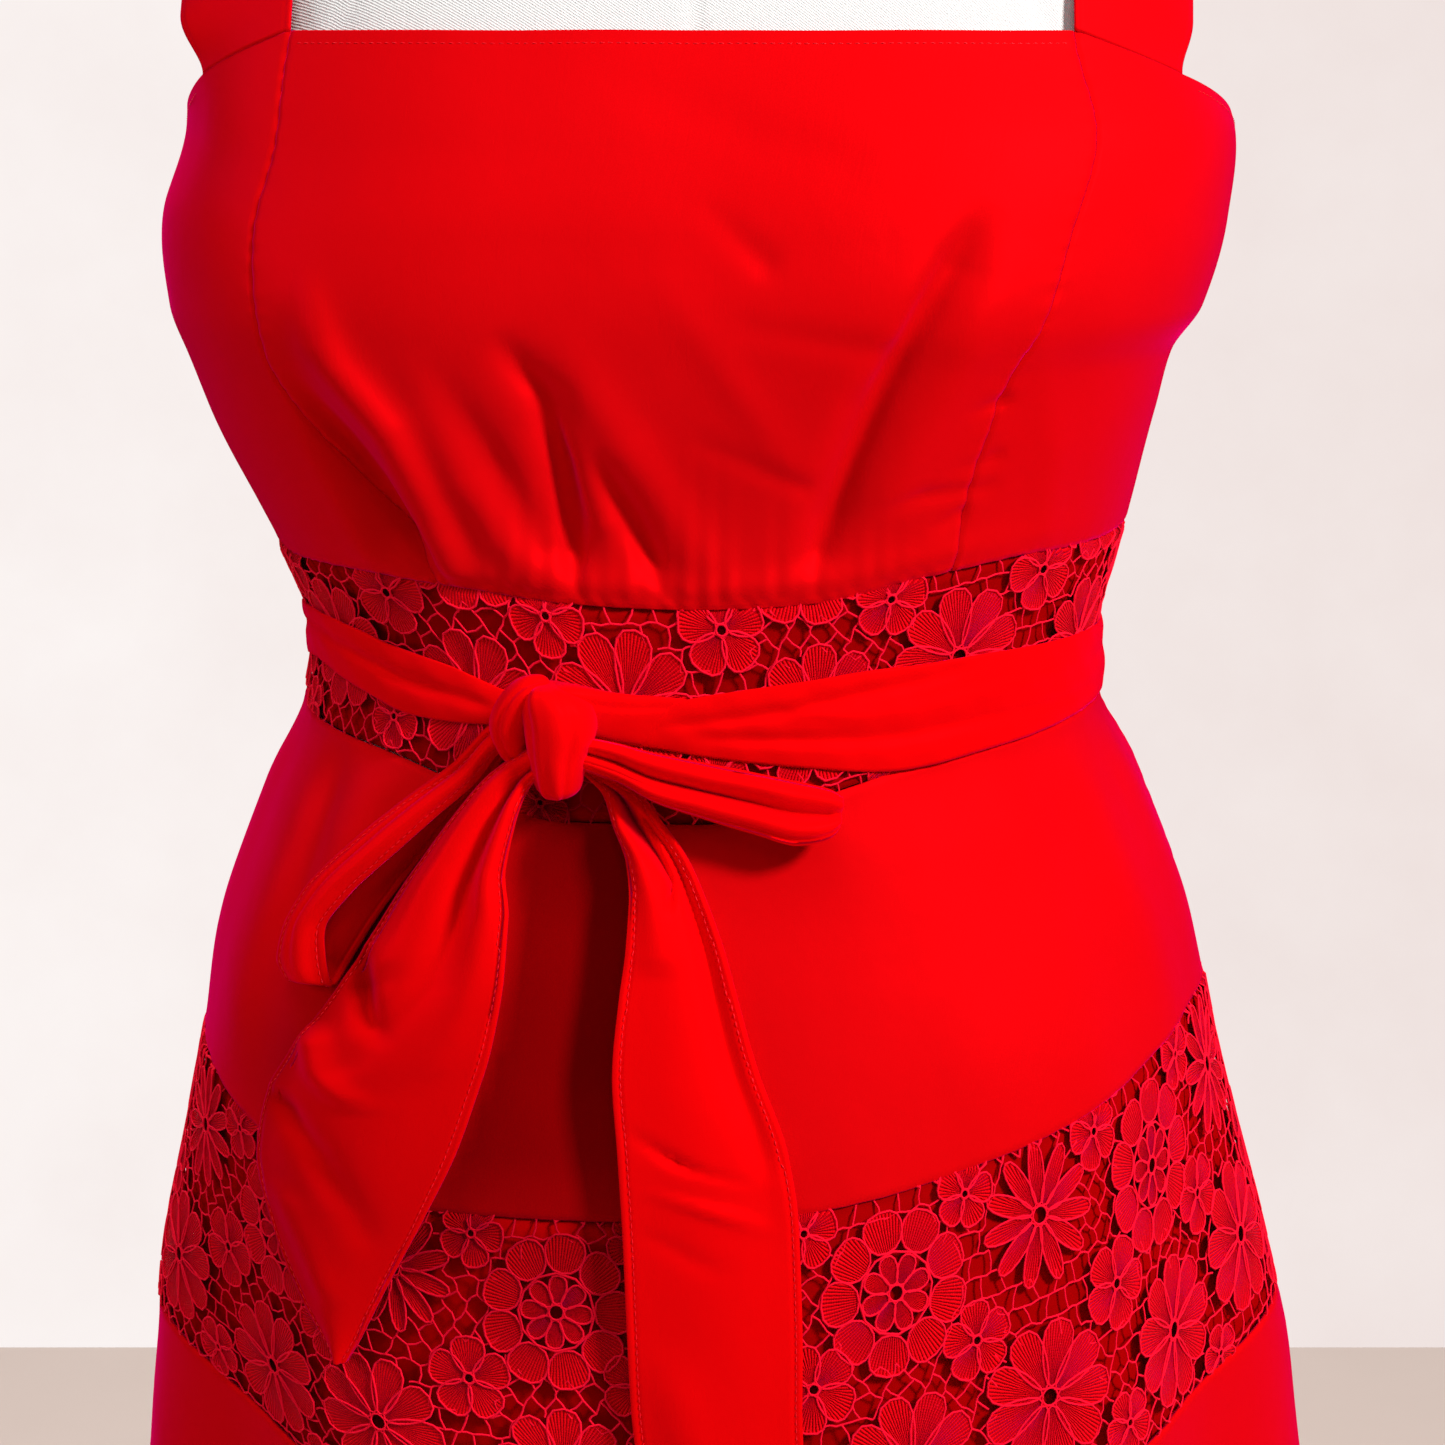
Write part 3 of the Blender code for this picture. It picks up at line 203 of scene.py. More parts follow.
RIBBONS = {
    "sash_loop_left": [
        # angle_1, level_1, angle_2, level_2, stand
        (-22.0, 1.064, -21.0, 1.05, 0.0125), (-28.6, 1.053, -26.9, 1.043, 0.0125),
        (-33.0, 1.038, -30.4, 1.029, 0.013), (-39.8, 1.0192, -35.0, 1.015, 0.0135),
        (-46.1, 1.0001, -39.9, 0.999, 0.014), (-51.0, 0.9805, -44.3, 0.983, 0.0135),
        (-52.8, 0.9648, -46.6, 0.97, 0.0125), (-53.0, 0.9551, -46.0, 0.9607, 0.011),
        (-51.6, 0.9487, -44.6, 0.9511, 0.0085), (-53.5, 0.956, -43.8, 0.9588, 0.0062),
        (-53.5, 0.9661, -42.0, 0.9742, 0.0055), (-51.7, 0.9793, -39.8, 0.9879, 0.0055),
        (-46.9, 0.9985, -36.8, 1.0035, 0.0055), (-40.5, 1.0178, -33.9, 1.015, 0.0058),
        (-33.5, 1.0355, -30.3, 1.027, 0.0062), (-28.2, 1.0479, -26.9, 1.0409, 0.0065),
        (-21.0, 1.054, -21.0, 1.045, 0.0065),
    ],
    "sash_loop_right": [
        (-17.5, 1.0506, -15.5, 1.0383, 0.019), (-12.2, 1.0485, -10.9, 1.0337, 0.019),
        (-6.8, 1.0451, -6.1, 1.0262, 0.019), (-0.1, 1.0417, 0.5, 1.02, 0.019),
        (6.7, 1.0382, 6.5, 1.0148, 0.0185), (13.1, 1.0338, 12.2, 1.0101, 0.018),
        (17.3, 1.0299, 16.1, 1.0118, 0.0165), (18.7, 1.0269, 17.6, 1.0151, 0.0138),
        (17.8, 1.0286, 16.6, 1.0138, 0.0108), (13.5, 1.0317, 12.7, 1.0129, 0.0098),
        (6.8, 1.0352, 6.9, 1.0183, 0.0096), (-0.1, 1.039, 0.6, 1.0227, 0.0096),
        (-7.0, 1.0424, -6.1, 1.0281, 0.0096), (-12.6, 1.0449, -11.1, 1.0342, 0.0096),
        (-18.1, 1.0462, -16.2, 1.0393, 0.0096),
    ],
    "sash_tail_left": [
        (-21.5, 1.0467, -20.0, 1.039, 0.019), (-26.6, 1.037, -22.2, 1.0293, 0.0195),
        (-31.7, 1.0168, -23.3, 1.0158, 0.02), (-36.1, 0.994, -23.8, 1.0001, 0.02),
        (-39.7, 0.9692, -22.8, 0.9826, 0.019), (-43.5, 0.9465, -22.7, 0.9638, 0.0165),
        (-48.9, 0.9233, -23.5, 0.9396, 0.0125), (-53.0, 0.902, -24.9, 0.9218, 0.0095),
        (-53.8, 0.881, -26.7, 0.902, 0.0085), (-50.6, 0.8587, -29.7, 0.8783, 0.008),
        (-45.6, 0.8371, -33.7, 0.8486, 0.0075), (-40.8, 0.8196, -37.0, 0.823, 0.007),
        (-39.3, 0.8145, -38.2, 0.815, 0.007),
    ],
    "sash_tail_right": [
        (-17.4, 1.039, -15.3, 1.036, 0.005), (-13.4, 1.0282, -8.5, 1.029, 0.0045),
        (-12.0, 1.0176, -5.2, 1.0179, 0.0045), (-10.0, 1.0037, -2.0, 1.0057, 0.0055),
        (-9.4, 0.9897, 0.5, 0.9906, 0.0065), (-9.5, 0.9741, 2.6, 0.9743, 0.0065),
        (-10.0, 0.9569, 4.2, 0.9572, 0.0065), (-10.4, 0.9327, 6.3, 0.9331, 0.0065),
        (-9.6, 0.9031, 9.1, 0.9036, 0.0065), (-9.1, 0.8774, 9.8, 0.8783, 0.0065),
        (-8.7, 0.8398, 9.7, 0.8412, 0.0065), (-8.2, 0.7962, 9.2, 0.7984, 0.0065),
        (-7.8, 0.773, 8.9, 0.768, 0.0065), (-3.8, 0.743, 6.2, 0.737, 0.0065),
        (0.4, 0.72, 1.6, 0.719, 0.0065),
    ],
}
# Each one's grid, lengthways and crossways; the solid's ridges across and their half height; how much
# further off the dress than its solid it stands halfway along, and by how much more its right edge does;
# how many pleats the knot draws it into, and their half height there
RIBBON_FORMS = {
    # name: lengthways, crossways, ridges, rise, lift, tilt, pleats, pleat_rise
    "sash_loop_left": (150, 40, 1, 0.0016, 0.0, 0.0, 1.5, 0.0007),
    "sash_loop_right": (120, 36, 2, 0.0014, 0.0, 0.0, 2.0, 0.0008),
    "sash_tail_left": (150, 56, 1, 0.0020, 0.0020, 0.0090, 2.5, 0.0008),
    "sash_tail_right": (170, 54, 1, 0.0012, 0.0045, -0.0050, 2.0, 0.0006),
}

# The lace. Flowers repeat along the band in tiles, and a net of six-sided gaps fills the ground between

TILE = 0.128
NET_CELL = 0.0088
NET_ROW = 0.866
NET_JITTER = 0.0015
FLOWERS = np.array([
    # along, up, radius
    (0.03, 0.092, 0.029), (0.088, 0.037, 0.027), (0.092, 0.101, 0.025), (0.031, 0.03, 0.026),
    (0.061, 0.066, 0.014), (0.125, 0.064, 0.016), (0.122, 0.014, 0.012), (0.061, 0.118, 0.012),
    (0.06, 0.005, 0.0105), (0.124, 0.119, 0.013),
])

# The stand

BASE_RADIUS = 0.190
BASE_THICKNESS = 0.014
BASE_EDGE = 0.004
HUB_RADIUS = 0.032
HUB_TOP = 0.050
POLE_RADIUS = 0.0125
NECK_CAP_HEIGHT = 0.014
NECK_CAP_PROFILE = ((0.050, 0.0), (0.053, 0.4), (0.046, 0.8))
NEARLY_AXIS = 0.0002
LATHE_TURNS = 96


# Shared shapes of one number


def bell(away, width):
    """1 at nought, fading both ways like a bell of a width."""
    return np.exp(-((away / width) ** 2))


def rise_from(value, start, run):
    """0 up to a start, then straight up to 1 over a run."""
    return np.clip((value - start) / run, 0.0, 1.0)


def fall_to(value, end, run):
    """1 up to a run before the end, then straight down to 0 at the end."""
    return np.clip((end - value) / run, 0.0, 1.0)


def within(value, start, rise, end, fall):
    """1 between a start and an end, rising after the start over one run and falling before the end over
    another."""
    return rise_from(value, start, rise) * fall_to(value, end, fall)


def eased(share):
    """A share from 0 to 1 that starts and ends softly."""
    return share**2 * (3 - 2 * share)


def full_circle(count):
    """Evenly spaced angles all round, from nought."""
    return np.linspace(0.0, 2 * math.pi, count, endpoint=False)


# Tables read between their rows


def read_smooth(table, at):
    """Every column but the first, read at values of the first along curves that never overshoot a row."""
    knots = table[:, 0]
    steps = np.diff(knots)
    rates = np.diff(table[:, 1:], axis=0) / steps[:, None]
    before, after = rates[:-1], rates[1:]
    product = before * after
    total = np.where(product > 0, before + after, 1.0)
    slopes = np.vstack([rates[:1], np.where(product > 0, 2 * product / total, 0.0), rates[-1:]])
    at = np.clip(np.asarray(at, float), knots[0], knots[-1])
    row = np.clip(np.searchsorted(knots, at, side="right") - 1, 0, len(steps) - 1)
    t = ((at - knots[row]) / steps[row])[..., None]
    step = steps[row][..., None]
    start, end = table[row, 1:], table[row + 1, 1:]
    return (
        (2 * t**3 - 3 * t**2 + 1) * start
        + (t**3 - 2 * t**2 + t) * step * slopes[row]
        + (3 * t**2 - 2 * t**3) * end
        + (t**3 - t**2) * step * slopes[row + 1]
    )


def columns(values):
    """The last axis brought forward, to be named one by one."""
    return np.moveaxis(values, -1, 0)


def stretches(table):
    """The rows of each numbered path of a table, without their number."""
    return [table[table[:, 0] == number, 1:] for number in np.unique(table[:, 0])]


def turn_between(angle, degrees):
    """Signed turn from a table's angle in degrees to an angle in radians, in degrees within half a turn."""
    return (np.degrees(angle) - degrees + 180.0) % 360.0 - 180.0


# The dress's surface


def plain_ring(angle, level):
    """Centre shift and radius of the cloth before folds: a squared ellipse, deeper in front than behind."""
    lean, half_width, front, back, power = columns(read_smooth(SECTIONS, level))
    depth = np.where(np.cos(angle) >= 0, front, back)
    reach = np.abs(np.sin(angle) / half_width) ** power
    reach = reach + np.abs(np.cos(angle) / depth) ** power
    return lean, reach ** (-1.0 / power)


def fullness(angle, level):
    """How far the bust pushes the cloth out along the radius."""
    out = np.zeros(angle.shape)
    for centre, height, angle_spread, level_spread, rise in CUPS:
        swell = bell(turn_between(angle, centre), angle_spread) * bell(level - height, level_spread)
        out = out + rise * swell
    return out


def along_path(path, x, level):
    """Push of one fold: the nearest stretch's rise, fading like a bell away from the path."""
    push = np.zeros(x.shape)
    for start, end in zip(path[:-1], path[1:]):
        run, fall = end[:2] - start[:2]
        share = ((x - start[0]) * run + (level - start[1]) * fall) / (run**2 + fall**2)
        share = np.clip(share, 0.0, 1.0)
        away = (x - start[0] - share * run) ** 2 + (level - start[1] - share * fall) ** 2
        width = start[2] + (end[2] - start[2]) * share
        rise = start[3] + (end[3] - start[3]) * share
        here = rise * np.exp(-away / width**2)
        push = np.where(np.abs(here) > np.abs(push), here, push)
    return push


def folds(angle, level, x):
    """How far bodice folds and skirt flutes push the cloth out along the radius."""
    out = np.zeros(angle.shape)
    above_seam = eased(rise_from(level, seam(BODICE_FOOT)(angle), FOLD_FADE))
    for path in stretches(BODICE_FOLDS):
        out = out + np.where(np.cos(angle) > 0, above_seam, 0.0) * along_path(path, x, level)
    growth = np.clip((FLUTE_TOP - level) / (FLUTE_TOP - HEM), 0.0, None)
    growth = growth**FLUTE_GROWTH
    for centre, spread, rise in FLUTES:
        out = out + growth * rise * bell(turn_between(angle, centre), spread)
    return out


def cloth_point(angle, level, fold_share=1.0):
    """Points of the dress's outer surface at an angle round the figure and a level above the floor."""
    angle, level = np.broadcast_arrays(np.asarray(angle, float), np.asarray(level, float))
    lean, radius = plain_ring(angle, level)
    x = lean + radius * np.sin(angle)
    radius = radius + fullness(angle, level) + fold_share * folds(angle, level, x)
    return np.stack([lean + radius * np.sin(angle), -radius * np.cos(angle), level], axis=-1)


def unit(vectors):
    """Vectors brought to length one."""
    return vectors / np.linalg.norm(vectors, axis=-1, keepdims=True)


def cloth_normal(angle, level, fold_share=1.0):
    """Outward directions of the dress's surface."""
    turn, rise = 0.004, 0.001
    angle, level = np.asarray(angle, float), np.asarray(level, float)
    right, left = (cloth_point(angle + step, level, fold_share) for step in (turn, -turn))
    above, below = (cloth_point(angle, level + step, fold_share) for step in (rise, -rise))
    return unit(np.cross(right - left, above - below))


def off_cloth(angle, level, stand):
    """Points that stand off the dress's surface by a distance."""
    normal = cloth_normal(angle, level)
    return cloth_point(angle, level) + normal * np.asarray(stand)[..., None]


# Seam lines


def seam(column, drop=0.0):
    """One seam's level at each angle, as a function."""
    return lambda angle: read_smooth(SEAMS, turn_between(angle, 0.0))[..., column] - drop


def hem(angle):
    """The hem is level."""
    return HEM + 0.0 * angle


def top_edge(angle):
    """Level of the bodice's upper edge."""
    return NECKLINE - np.interp(turn_between(angle, 0.0), TOP_EDGE[:, 0], TOP_EDGE[:, 1])


def princess_seam(side):
    """A curved front seam's angle at each share of the bodice's height; side is 0 left or 1 right."""
    return lambda share: np.radians(read_smooth(PRINCESS_SEAMS, share)[..., side])


def straight_seam(angle):
    """A seam that runs straight up at one angle."""
    return lambda share: angle + 0.0 * share


# Meshes


def grid_quads(count, rows, columns, wrap_rows=False, wrap_columns=False):
    """Four-cornered faces of equal stacked grids: each point, the next in its row, and both in the next
    row."""
    index = np.arange(count * rows * columns).reshape(count, rows, columns)
    if wrap_rows:
        index = np.concatenate([index, index[:, :1]], axis=1)
    if wrap_columns:
        index = np.concatenate([index, index[:, :, :1]], axis=2)
    corners = [index[:, :-1, :-1], index[:, :-1, 1:], index[:, 1:, 1:], index[:, 1:, :-1]]
    return np.stack(corners, axis=-1).reshape(-1, 4)


def put_in_scene(name, data):
    """An object with some data, in the scene."""
    made = bpy.data.objects.new(name, data)
    bpy.context.scene.collection.objects.link(made)
    return made


def make_piece(
    name, points, quads, finishes, replaced, uv=None, finish_of=None, painted_shade=None, caps=()
):
    """A shown piece from points and faces, which rides on the dress and stands for its solid. Its painted
    shade, where given, darkens each point's colour by a share from 0 to 1. Caps are three-cornered faces."""
    mesh = bpy.data.meshes.new(name)
    mesh.from_pydata(points.reshape(-1, 3).tolist(), [], [*quads.tolist(), *caps])
    if uv is not None:
        layer = mesh.uv_layers.new(name="cloth")
        layer.data.foreach_set("uv", uv.reshape(-1, 2)[quads.ravel()].ravel())
    for finish in finishes:
        mesh.materials.append(finish)
    if finish_of is not None:
        mesh.polygons.foreach_set("material_index", finish_of)
    if painted_shade is not None:
        depth = mesh.attributes.new("painted_shade", "FLOAT", "POINT")
        depth.data.foreach_set("value", painted_shade.ravel())
    mesh.shade_smooth()
    mesh.update()
    made = put_in_scene(name, mesh)
    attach(made, "root")
    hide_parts(*replaced)
    return made


def grid_piece(name, points, finish, uv, painted_shade=None):
    """One grid of cloth as a shown piece that stands for the solid of that name."""
    quads = grid_quads(1, *points.shape[:2])
    return make_piece(name + "_cloth", points, quads, [finish], [name], uv, painted_shade=painted_shade)


def thicken(piece, wall):
    """Gives a piece of cloth its thickness, inwards from its face."""
    solid = piece.modifiers.new("wall", "SOLIDIFY")
    solid.thickness = wall
    solid.offset = -1.0
    solid.use_even_offset = False


def run_lengths(points, axis):
    """Distance travelled along a grid's rows or columns, from nought at the first."""
    steps = np.linalg.norm(np.diff(points, axis=axis), axis=-1)
    start = 0.0 * np.take(points, [0], axis=axis)[..., 0]
    return np.concatenate([start, np.cumsum(steps, axis=axis)], axis=axis)


def cloth_uv(points):
    """Where each point lies on the flat cloth, across and along."""
    return np.stack([run_lengths(points, 1), run_lengths(points, 0)], axis=-1)


def stations(count, length, close=(0.0005, 0.0010, 0.0016, 0.0026, 0.0040)):
    """Shares from 0 to 1, evenly spaced, with more of them close to both ends."""
    near = np.array(close) / length
    return np.unique(np.concatenate([np.linspace(0.0, 1.0, count + 1), near, 1.0 - near]))


# How the cloth lies

ROLL_DEPTH = 0.0007
ROLL_WIDTH = 0.0013
FINE_FOLD_FADE = 0.007
SOFT_WAVE_RISE = 0.00016
SOFT_WAVES = ((71.0, 33.0, 0.4), (43.0, -57.0, 1.9), (19.0, 96.0, 4.1))
# Puckers beside a sewn edge
PUCKER_STEP = 0.0085
PUCKER_RISE = 0.00022
PUCKER_REACH = 0.005
# Gathers above the waist seam in front, and the soft puff of cloth just over it
GATHER_STEP = 0.0105
GATHER_REACH = 0.016
GATHER_RISE = 0.00055
PUFF_RISE = 0.0022

# Creases too fine for the solids, as paths on the front seen from straight ahead
FINE_FOLDS = np.array([
    # fold, x, level, width, rise
    (0, -0.143, 1.222, 0.005, 0.0), (0, -0.131, 1.184, 0.006, 0.0027), (0, -0.112, 1.16, 0.006, 0.0034),
    (0, -0.098, 1.13, 0.006, 0.0024), (0, -0.09, 1.103, 0.006, 0.0017),
    (1, -0.15, 1.183, 0.004, 0.0), (1, -0.131, 1.156, 0.004, -0.0037),
    (1, -0.111, 1.127, 0.004, -0.0044), (1, -0.098, 1.106, 0.004, -0.0034),
    (2, -0.074, 1.197, 0.004, 0.0), (2, -0.057, 1.176, 0.004, -0.0031),
    (2, -0.05, 1.15, 0.004, -0.0041), (2, -0.047, 1.118, 0.004, -0.0034),
    (2, -0.046, 1.1, 0.004, -0.0017),
    (3, -0.066, 1.19, 0.005, 0.0), (3, -0.047, 1.16, 0.005, 0.0024), (3, -0.036, 1.128, 0.005, 0.002),
    (4, -0.04, 1.155, 0.004, 0.0), (4, -0.03, 1.137, 0.004, -0.0024),
    (4, -0.019, 1.115, 0.004, -0.0027), (4, -0.014, 1.101, 0.004, -0.0017),
    (5, 0.096, 1.236, 0.004, 0.0), (5, 0.079, 1.206, 0.004, -0.0031), (5, 0.064, 1.178, 0.004, -0.0037),
    (5, 0.053, 1.15, 0.004, -0.0031), (5, 0.042, 1.117, 0.004, -0.0017),
    (6, 0.062, 1.131, 0.003, 0.0), (6, 0.08, 1.137, 0.003, -0.0017), (6, 0.104, 1.139, 0.003, -0.001),
    (7, 0.086, 1.145, 0.003, 0.0), (7, 0.106, 1.15, 0.003, -0.0016),
    (8, 0.094, 1.166, 0.003, 0.0), (8, 0.108, 1.171, 0.003, -0.0021),
    (9, 0.08, 1.124, 0.003, 0.0), (9, 0.094, 1.129, 0.003, -0.0018),
    (10, 0.0, 1.157, 0.004, -0.0005), (10, 0.036, 1.141, 0.004, -0.0013),
    (11, 0.016, 1.199, 0.005, -0.0005), (11, 0.062, 1.19, 0.005, -0.0012),
    (12, 0.004, 1.238, 0.005, -0.0004), (12, 0.022, 1.221, 0.005, -0.0012),
    (13, -0.02, 1.222, 0.007, 0.0), (13, 0.01, 1.18, 0.007, 0.0012), (13, 0.03, 1.15, 0.007, 0.0008),
    (14, -0.16, 1.196, 0.005, 0.0), (14, -0.142, 1.15, 0.006, 0.0016),
    (14, -0.124, 1.112, 0.006, 0.0013),
    (15, 0.118, 1.21, 0.006, 0.0), (15, 0.128, 1.15, 0.007, 0.0012), (15, 0.126, 1.115, 0.006, 0.0009),
    (17, -0.19, 1.286, 0.01, 0.0), (17, -0.199, 1.264, 0.012, -0.0032), (17, -0.205, 1.236, 0.01, 0.0),
    (16, -0.05, 1.29, 0.009, 0.0), (16, 0.01, 1.268, 0.01, -0.0009), (16, 0.05, 1.255, 0.009, -0.0005),
])


def soft_waves(angle, level):
    """Slow unevenness that any worn cloth has: three crossing waves, less than half a millimetre high."""
    around = 0.20 * angle
    waving = (np.sin(across * around + up * level + shift) for across, up, shift in SOFT_WAVES)
    return SOFT_WAVE_RISE * sum(waving)


def fine_folds(angle, level, x):
    """Fine creases of the bodice, gathers above its foot, and a soft puff over the waist seam in front."""
    height = level - seam(BODICE_FOOT)(angle)
    in_front = np.clip(np.cos(angle) * 3.0, 0.0, 1.0)
    settled = np.clip(height / FINE_FOLD_FADE, 0.0, 1.0)
    out = np.zeros(angle.shape)
    for path in stretches(FINE_FOLDS):
        out = out + along_path(path, x, level)
    gather = np.sin(2 * math.pi * x / GATHER_STEP + 1.8 * np.sin(x * 95.0)) + 0.6 * np.sin(x * 880.0)
    drop_off = np.exp(-height / GATHER_REACH)
    middle = np.exp(-(((x + 0.010) / 0.075) ** 4))
    puff = PUFF_RISE * bell(height - 0.007, 0.007) * np.exp(-((x / 0.11) ** 4))
    return in_front * settled * (out + GATHER_RISE * gather * drop_off * middle + puff)


def gathered_seam(along, away):
    """Little puckers where stitches draw a seam up: a wave along the seam that fades away from it."""
    wave = np.sin(2 * math.pi * along / PUCKER_STEP + 1.3 * np.sin(along * 210.0))
    return PUCKER_RISE * wave * bell(away, PUCKER_REACH)


def lay(angle, level, detail=True, rolled=(True, True, True, True), stand=0.0):
    """Points of one piece of the dress: the surface, its fine creases, and each sewn edge rolled inwards as
    a bell of the distance from it. The edges are left, right, foot and top."""
    base = cloth_point(angle, level)
    normal = cloth_normal(angle, level)
    across, up = run_lengths(base, 1), run_lengths(base, 0)
    away = (across, across[:, -1:] - across, up, up[-1:] - up)
    along = (up, up, across, across)
    push = stand + soft_waves(angle, level)
    if detail:
        push = push + fine_folds(angle, level, base[..., 0])
    for is_rolled, distance, travelled in zip(rolled, away, along):
        if is_rolled:
            push = push - ROLL_DEPTH * bell(distance, ROLL_WIDTH)
            push = push + gathered_seam(travelled, distance)
    return base + normal * push[..., None], np.stack([across, up], axis=-1)


def sewn_panel(name, finish, left, right, foot, top, across_by, up_by, **how):
    """A cut piece between two upright seams and two level ones, with its own thickness."""
    middle = cloth_point(np.linspace(left(0.5), right(0.5), 60), foot(left(0.5)) + 0.04)
    width = run_lengths(middle, 0)[-1]
    height = float(np.mean(top(left(0.5)) - foot(left(0.5))))
    across, share = stations(across_by, width)[None, :], stations(up_by, height)[:, None]
    angle = left(share) + (right(share) - left(share)) * across
    low, high = foot(angle), top(angle)
    level = low + (high - low) * share
    if name.startswith("yoke"):
        how["stand"] = yoke_drapes(angle, level) - hollow_under_bow(angle, level)
    points, uv = lay(angle, level, **how)
    # Painted shade under the bow, for the cloth's colour
    piece = grid_piece(name, points, finish, uv, painted_bow_shade(angle, level))
    thicken(piece, CLOTH)
    return piece, points


# How deep the yoke falls in under the bow, and the levels between which it does; where its drapes settle
BOW_HOLLOW = 0.0055
HOLLOW_FOOT = 0.885
HOLLOW_TOP = 1.012
DRAPE_TOP = 1.034
SETTLE = 0.04
# How deep the painted shade gets between the tails and under the left tail, next to 1 inside the left loop
TAIL_SHADE = 0.78
UNDER_SHADE = 0.35
# Levels between which it does so there: the start and the rise after it, the end and the fall before it
TAIL_LEVELS = (0.80, 0.10, 1.045, 0.020)
UNDER_LEVELS = (0.87, 0.05, 0.965, 0.02)
LOOP_LEVELS = (0.935, 0.025, 1.050, 0.015)


def ribbon_edge(name, column, level):
    """The angle in degrees of one edge of a loop or tail at a level, read from its rows up to its turn."""
    rows = np.array(RIBBONS[name])
    turn = int(rows[:, column + 1].argmin()) + 1
    rows = rows[:turn][::-1]
    return np.interp(level, rows[:, column + 1], rows[:, column])


def painted_bow_shade(angle, level):
    """How much painted shade a point gets under the bow: full between the two tails and inside the left
    loop, and fading in and out over their edges."""
    turn = turn_between(angle, 0.0)
    outer, inner = (ribbon_edge("sash_tail_left", column, level) for column in (0, 2))
    right = ribbon_edge("sash_tail_right", 0, level)
    tails = within(turn, inner - 3.0, 3.0, right + 2.0, 2.0) * within(level, *TAIL_LEVELS)
    loop = within(turn, ribbon_edge("sash_loop_left", 2, level) - 2.0, 2.0, outer + 3.0, 3.0)
    loop = loop * within(level, *LOOP_LEVELS)
    under = bell(turn - outer, 9.0) * within(level, *UNDER_LEVELS)
    return np.maximum(np.maximum(TAIL_SHADE * tails, loop), UNDER_SHADE * under)


def hollow_under_bow(angle, level):
    """How far the yoke falls in between the tails: most beside the right tail, easing out to the left."""
    turn = turn_between(angle, 0.0)
    left = ribbon_edge("sash_tail_left", 2, level) - 6.0
    right = ribbon_edge("sash_tail_right", 0, level) + 2.0
    fall = eased(rise_from(turn, left, right - left)) * fall_to(turn, right + 5.0, 5.0)
    height = within(level, HOLLOW_FOOT, SETTLE, HOLLOW_TOP, 0.03)
    return BOW_HOLLOW * fall * height * (np.cos(angle) > 0)


def yoke_drapes(angle, level):
    """Soft upright drapes of the yoke: a crease left of the bow, and slow waves round both sides."""
    turn = turn_between(angle, 0.0)
    settled = within(level, HOLLOW_FOOT, SETTLE, DRAPE_TOP, 0.02)
    crease = -0.0016 * bell(turn + 56.5, 2.2) * rise_from(level, 0.955, 0.02)
    beside = 0.0012 * bell(turn + 61.5, 3.0)
    sides = 0.0007 * np.sin(np.radians(turn * 23.0) + 9.0 * level) * rise_from(np.abs(turn), 25.0, 20.0)
    return settled * (crease + beside + sides)


# The lace: flowers of corded petals on a net, worked out flat as along, up and lift, then laid on the dress

LACE_LIFT = 0.0002
CORD_RADIUS = 0.00045
NET_RADIUS = 0.00042
NET_BOW = 0.10
NET_CLEAR_OF_FLOWER = 0.90
LACE_TUCK = 0.0030
TUCK_RUN = 0.0015
LACE_OVERLAP = 0.0040
LACE_STATIONS = 240
# Heights of the cords above the net, how far a petal's edge stands above its middle, and the steps that
# settle which flower lies on top
CORD_LIFT = 0.0004
HEART_LIFT = 0.0005
PETAL_DISH = 0.00030
FLOWER_STEP = 0.00009
# How much a petal widens towards its tip, how blunt its sides are, and how its ribs fan out
PETAL_TIP = 1.6
PETAL_BLUNTNESS = 0.8
RIB_PITCH = 0.75
# Steps along and across a petal, round its cord and round a heart ring
PETAL_ALONG, PETAL_ACROSS, PETAL_ROUND, HEART_ROUND = 8, 6, 14, 12

# Each ring of petals: which flowers have it, how many petals, where they start and end as shares of the
# flower's radius, their half width as a share of it, and how far towards the tip they are widest
PETAL_RINGS = np.array([
    # kind, petals, start, end, half_width, tip_bias
    (0, 9, 0.5, 1.0, 0.275, 0.15), (0, 8, 0.1, 0.47, 0.12, 0.3),
    (1, 9, 0.13, 1.0, 0.25, 0.45),
    (2, 11, 0.14, 1.0, 0.14, 0.1),
    (3, 5, 0.12, 1.0, 0.43, 0.35),
])
# The kind of each flower of the tile, and the turn of its first petal in degrees
FLOWER_KINDS = np.array([
    # kind, turn
    (0, 8.0),
    (1, 21.0),
    (2, 3.0),
    (1, 12.0),
    (3, 40.0), (3, 5.0), (3, 62.0), (3, 20.0), (3, 33.0), (3, 50.0),
])
# Small rings of cord in the flowers' middles: kind and radius as a share of the flower's
HEART_RINGS = np.array([
    # kind, share
    (0, 0.5), (0, 0.1),
    (1, 0.12),
    (2, 0.13),
    (3, 0.13),
])


def flat_flowers(length, height, offset):
    """Every flower on a band: middle, radius, kind, first turn, and a small lift that settles which lies
    on top."""
    tiles = np.arange(-1, int(length / TILE) + 2)
    count = len(FLOWERS)
    along = (tiles[:, None] * TILE + FLOWERS[None, :, 0] + offset).ravel()
    up = np.tile(FLOWERS[:, 1], len(tiles))
    radius = np.tile(FLOWERS[:, 2], len(tiles))
    kind = np.tile(FLOWER_KINDS[:, 0], len(tiles))
    turn = np.radians(np.tile(FLOWER_KINDS[:, 1], len(tiles)) + 17.0 * np.repeat(tiles, count))
    lift = FLOWER_STEP * (np.arange(len(along)) % 4)
    near = (along > -radius) & (along < length + radius) & (up - radius < height)
    return tuple(column[near] for column in (along, up, radius, kind, turn, lift))


